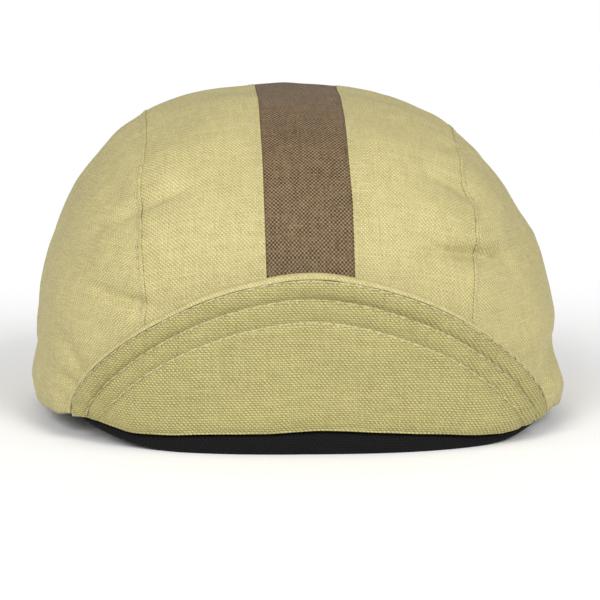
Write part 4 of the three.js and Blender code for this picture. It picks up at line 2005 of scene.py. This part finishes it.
    def top_cover(self) -> Thing:
        """Builds the upper cover, whose rim rolls over to the front as a narrow strip.

        Returns:
            The cover.
        """
        places = self.top_sections()
        sections = np.stack([self.place(x, above, depth) for x, above, depth in places], axis=1)
        sections = sections + self.rim_unevenness(sections)
        flat = np.stack([self.unrolled(x, above) for x, above, _ in places], axis=1)
        lengths = travelled(sections)
        fold = len(places) - self.inside_rows
        over_rim = self.back_rows + self.roll_rows // 2 + 1
        outward = flat[:, over_rim] - flat[:, fold]
        outward /= np.maximum(np.linalg.norm(outward, axis=-1, keepdims=True), TINY)
        across = lengths[:, fold : fold + 1] - lengths
        cloth = flat[:, fold : fold + 1] + outward[:, None, :] * across[..., None] + self.top_cloth
        cloth = np.concatenate([cloth, cloth[:, :1]], axis=1)
        return loft_object("cloth_peak_top", sections, cloth, False, self.finishes.straw)

    def rim_unevenness(self, points: Array) -> Array:
        """Small shifts that keep the rim from looking machined."""
        shift = self.rim_waver.at(points)
        return np.stack([np.zeros_like(shift), -shift, shift], axis=-1)

    def stitch_line(self, row: QuiltRow) -> Pair:
        """A row of quilting over the peak, from root to root.

        Args:
            row: The row.

        Returns:
            The line's points and the outward direction at each.
        """
        start = self.stations(self.line_samples)
        inset = self.rows.read(row.word, self.share(start))
        x, above = self.inset(start, inset)
        distance, rim_x = self.from_rim(x, above)
        inside = (above > self.last_stitch) & (distance > inset - self.row_slack)
        x, above, distance, rim_x = (values[inside] for values in (x, above, distance, rim_x))
        points = self.place(x, above, -self.proud(x, above, distance, rim_x))
        outward = self.form.front_plan(x)[1].copy()
        outward[..., 2] = -np.tan(np.radians(self.lean))
        outward /= np.linalg.norm(outward, axis=-1, keepdims=True)
        return points, outward

    def build(self) -> list[Made]:
        """Builds the peak.

        Returns:
            Each piece with the nodes that it stands for and its material slot.
        """
        made = [
            (self.under_cover(), ("peak_under_cover",), "peak_linen"),
            (self.top_cover(), ("peak_top_cover",), "crown_linen"),
        ]
        for row in QuiltRow:
            name, seed = f"stitches_peak_{row.word}", self.stitch_seed + row.value
            stitches = self.stitch_row.sew(name, self.stitch_line(row), self.finishes.thread, seed)
            made.append((stitches, (), "peak_linen"))
        return made


# The sweatband


def heights(low: Array, high: Array, count: int) -> list[Array]:
    """Heights evenly spaced from high to low."""
    return [high + (low - high) * k / count for k in range(count + 1)]


@dataclass(frozen=True)
class Sweatband:
    """The black ring inside the crown, whose turned foot shows under the peak."""

    form: CrownForm
    finishes: Finishes
    crown_wall: float = 1.6
    wall: float = 1.5
    clearance: float = 0.6
    top: float = 32.0
    taper: float = 3.0
    bead_out: float = 3.5
    bead_round: tuple[tuple[float, float], ...] = (
        (0.8, 0.02), (0.93, 0.1), (0.99, 0.25), (1.0, 0.45), (1.0, 0.65), (0.97, 0.85), (0.9, 0.95),
    )
    bead_slant: float = 0.1
    bead_drop: float = 0.15
    foot_round: float = 0.35
    foot_corner: float = 0.5
    shelf_least: float = 1.0
    rise_from: float = 42.0
    rise_fade: float = 30.0
    undersewn: float = 0.35
    stations: int = 420
    outer_rows: int = 14
    inner_rows: int = 12
    join_x: float = -1.9
    join_depth: float = 0.45
    join_width: float = 0.5
    waver: Unevenness = Unevenness(wavelength=7.0, depth=0.05, seed=91)
    level_foot: float = 1.0

    def foot(self, plan: Array, band: Array) -> Array:
        """The height of the band's foot, which rises towards the front left.

        Args:
            plan: Points of the crown's lower edge in plan.
            band: The foot's height in the crown's table there.

        Returns:
            The foot's height at each point.
        """
        left_front = np.maximum(-plan[:, 0] - self.rise_from, 0.0) * smooth(-plan[:, 1] / self.rise_fade)
        return band + self.form.foot_rise * left_front

    def face(self, hem: dict[str, Array], z: Array) -> Array:
        """The outer face's place, outwards from the crown's lower edge.

        Args:
            hem: The crown's edge columns at each station.
            z: Heights over the table.

        Returns:
            The distance outwards at each height, which is below 0 as the face lies inside.
        """
        tucked = hem["tuck"] * (1.0 - smooth((z - hem["crown"]) / self.form.tuck_top))
        return -self.crown_wall - self.clearance - hem["gather"] - self.taper * (z / self.top) - tucked

    def outline(self, plan: Array, hem: dict[str, Array]) -> list[Pair]:
        """The band's closed section, down its outer face, round the bead and up its inner face.

        Args:
            plan: Points of the crown's lower edge in plan.
            hem: The crown's edge columns there.

        Returns:
            The section's places, each as distances outwards from the edge and heights.
        """
        foot = self.foot(plan, hem["band"])
        edge = self.form.edge_height(plan[:, 0], plan[:, 1])
        shelf = np.maximum(edge - self.undersewn, foot + self.shelf_least)
        top = np.full(foot.shape, self.top)
        bead = hem["bead"] * self.bead_out
        foot_face = self.face(hem, foot)
        places = [(self.face(hem, z), z) for z in heights(shelf, top, self.outer_rows)]
        for share_out, share_down in self.bead_round:
            z = shelf - self.bead_drop + (foot - shelf + self.bead_drop) * share_down
            places.append((foot_face + bead * share_out - self.bead_slant * share_down, z))
        places += [
            (foot_face + bead * self.bead_round[0][0] - self.foot_round, foot),
            (foot_face - self.wall + self.foot_round, foot),
            (foot_face - self.wall, foot + self.foot_corner),
        ]
        inner = heights(top, shelf + self.shelf_least, self.inner_rows)
        return places + [(self.face(hem, z) - self.wall, z) for z in inner]

    def sections(self) -> Array:
        """The band's closed sections all round.

        Returns:
            Their points, first axis round the band.
        """
        angle = 2.0 * np.pi * (np.arange(self.stations) + 0.5) / self.stations
        plan, outward = self.form.edge_plan(angle)
        around = self.form.around(plan[:, 0], plan[:, 1])
        columns = ("band", "bead", "crown", "gather", "tuck")
        places = self.outline(plan, {name: self.form.hem.read(name, around) for name in columns})
        out = np.stack([out for out, _ in places], axis=1)
        points = plan[:, None, :] + outward[:, None, :] * out[..., None]
        points[..., 2] = np.stack([height for _, height in places], axis=1)
        joined = self.join_depth * bump(plan[:, 0] - self.join_x, self.join_width) * (plan[:, 1] < 0)
        bead = np.arange(len(places)) - (self.outer_rows + 1)
        showing = (bead >= 0) & (bead < len(self.bead_round))
        return points - outward[:, None, :] * (joined[:, None] * showing)[..., None]

    def wavered(self, sections: Array) -> Array:
        """The sections with a slight unevenness, but level where they stand on the table.

        Args:
            sections: The sections' points.

        Returns:
            The same points, shifted in or out.
        """
        soft = np.where(sections[..., 2] > self.level_foot, self.waver.at(sections), 0.0)
        radial = sections - HEAD_CENTRE
        radial[..., 2] = 0.0
        radial /= np.linalg.norm(radial, axis=-1, keepdims=True)
        return sections + radial * soft[..., None]

    def build(self) -> list[Made]:
        """Builds the sweatband.

        Returns:
            The one piece with the node that it stands for and its material slot.
        """
        sections = self.wavered(self.sections())
        along = travelled(np.concatenate([sections[:, 0], sections[:1, 0]]))
        down = travelled(np.concatenate([sections, sections[:, :1]], axis=1))
        down = np.concatenate([down, down[:1]], axis=0)
        cloth = np.stack([np.broadcast_to(along[:, None], down.shape), down], axis=-1)
        band = loft_object("band_mesh", sections, cloth, True, self.finishes.mesh)
        return [(band, ("sweatband",), "sweatband_mesh")]


# The studio


@dataclass(frozen=True)
class Lamp:
    """A far soft light. Angles are in degrees, its place to the side being counted from ahead."""

    name: str
    to_side: float
    up: float
    spread: float
    strength: float
    distance: float = 3.0

    def hang(self, side: Side) -> None:
        """Adds the light on one side.

        Args:
            side: The side.
        """
        to_side, up = np.radians((side.value * self.to_side, self.up))
        place = Vector((np.sin(to_side) * np.cos(up), -np.cos(to_side) * np.cos(up), np.sin(up)))
        data = bpy.data.lights.new(f"{side.word} {self.name}", "SUN")
        data.angle, data.energy = np.radians(self.spread), self.strength
        lamp = linked(data.name, data)
        lamp.location = place * self.distance
        lamp.rotation_mode = "QUATERNION"
        lamp.rotation_quaternion = (-place).to_track_quat("-Z", "Y")


@dataclass(frozen=True)
class Studio:
    """A pale floor, soft light, and a camera at the photograph's angle."""

    distance: float = 1600.0
    elevation: float = 8.0
    azimuth: float = -2.5
    target: tuple[float, float, float] = (0.0, 0.0, 49.2)
    pixels_per_mm: float = 2.94
    image_size: float = 600.0
    target_pixel: tuple[float, float] = (297.4, 262.4)
    sensor: float = 36.0
    clip: tuple[float, float] = (0.05, 50.0)
    floor_size: float = 12.0
    floor_tone: float = 0.96
    floor_roughness: float = 0.9
    surrounding_light: float = 0.46
    lamps: tuple[Lamp, ...] = (
        Lamp("key light", to_side=28.0, up=30.5, spread=26.0, strength=1.73),
        Lamp("fill light", to_side=70.0, up=20.0, spread=40.0, strength=0.26),
    )

    def camera(self) -> None:
        """Adds the camera, turned so that the target falls on its pixel."""
        elevation, azimuth = np.radians(self.elevation), np.radians(self.azimuth)
        level = np.cos(elevation)
        back = np.array([np.sin(azimuth) * level, -np.cos(azimuth) * level, np.sin(elevation)])
        target = np.array(self.target)
        place = target + back * self.distance
        right = np.cross(-back, [0.0, 0.0, 1.0])
        right /= np.linalg.norm(right)
        up = np.cross(right, -back)
        aside, below = (self.image_size / 2.0 - pixel for pixel in self.target_pixel)
        aim = target + right * aside / self.pixels_per_mm - up * below / self.pixels_per_mm
        data = bpy.data.cameras.new("camera")
        data.sensor_width = self.sensor
        data.lens = self.pixels_per_mm * self.distance / self.image_size * self.sensor
        data.clip_start, data.clip_end = self.clip
        camera = linked("camera", data)
        camera.location = Vector(place * MILLIMETRE)
        camera.rotation_mode = "QUATERNION"
        camera.rotation_quaternion = Vector(aim - place).to_track_quat("-Z", "Y")
        bpy.context.scene.camera = camera

    def floor(self) -> None:
        """Adds the pale floor."""
        half = self.floor_size / 2.0
        mesh = bpy.data.meshes.new("floor")
        corners = [(-half, -half, 0.0), (half, -half, 0.0), (half, half, 0.0), (-half, half, 0.0)]
        mesh.from_pydata(corners, [], [(0, 1, 2, 3)])
        colour = (self.floor_tone, self.floor_tone, self.floor_tone, 1.0)
        sockets = {"Base Color": colour, "Roughness": self.floor_roughness}
        mesh.materials.append(Graph("pale floor").surface(sockets))
        floor = linked("floor", mesh)

    def light(self) -> None:
        """Adds the even surrounding light and the lamps."""
        world = bpy.data.worlds.new("studio")
        world.use_nodes = True
        background = world.node_tree.nodes["Background"]
        background.inputs[0].default_value = (1.0, 1.0, 1.0, 1.0)
        background.inputs[1].default_value = self.surrounding_light
        bpy.context.scene.world = world
        bpy.context.scene.view_settings.view_transform = "Standard"
        for side in Side:
            for lamp in self.lamps:
                lamp.hang(side)

    def build(self) -> None:
        """Builds the studio."""
        self.camera()
        self.floor()
        self.light()


def main() -> None:
    """Dresses the cap and logs the number of faces of each piece."""
    logging.basicConfig(level=logging.INFO, format="%(message)s")
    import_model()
    Studio().build()
    form = CrownForm()
    finishes = Finishes.mixed()
    for assembly in (Crown(form, finishes), Peak(form, finishes), Sweatband(form, finishes)):
        for piece, nodes, slot in assembly.build():
            if nodes:
                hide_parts(*nodes)
            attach(piece, "root")
            log.info("%s: %d faces", piece.name, len(piece.data.polygons))


if __name__ == "__main__":
    main()
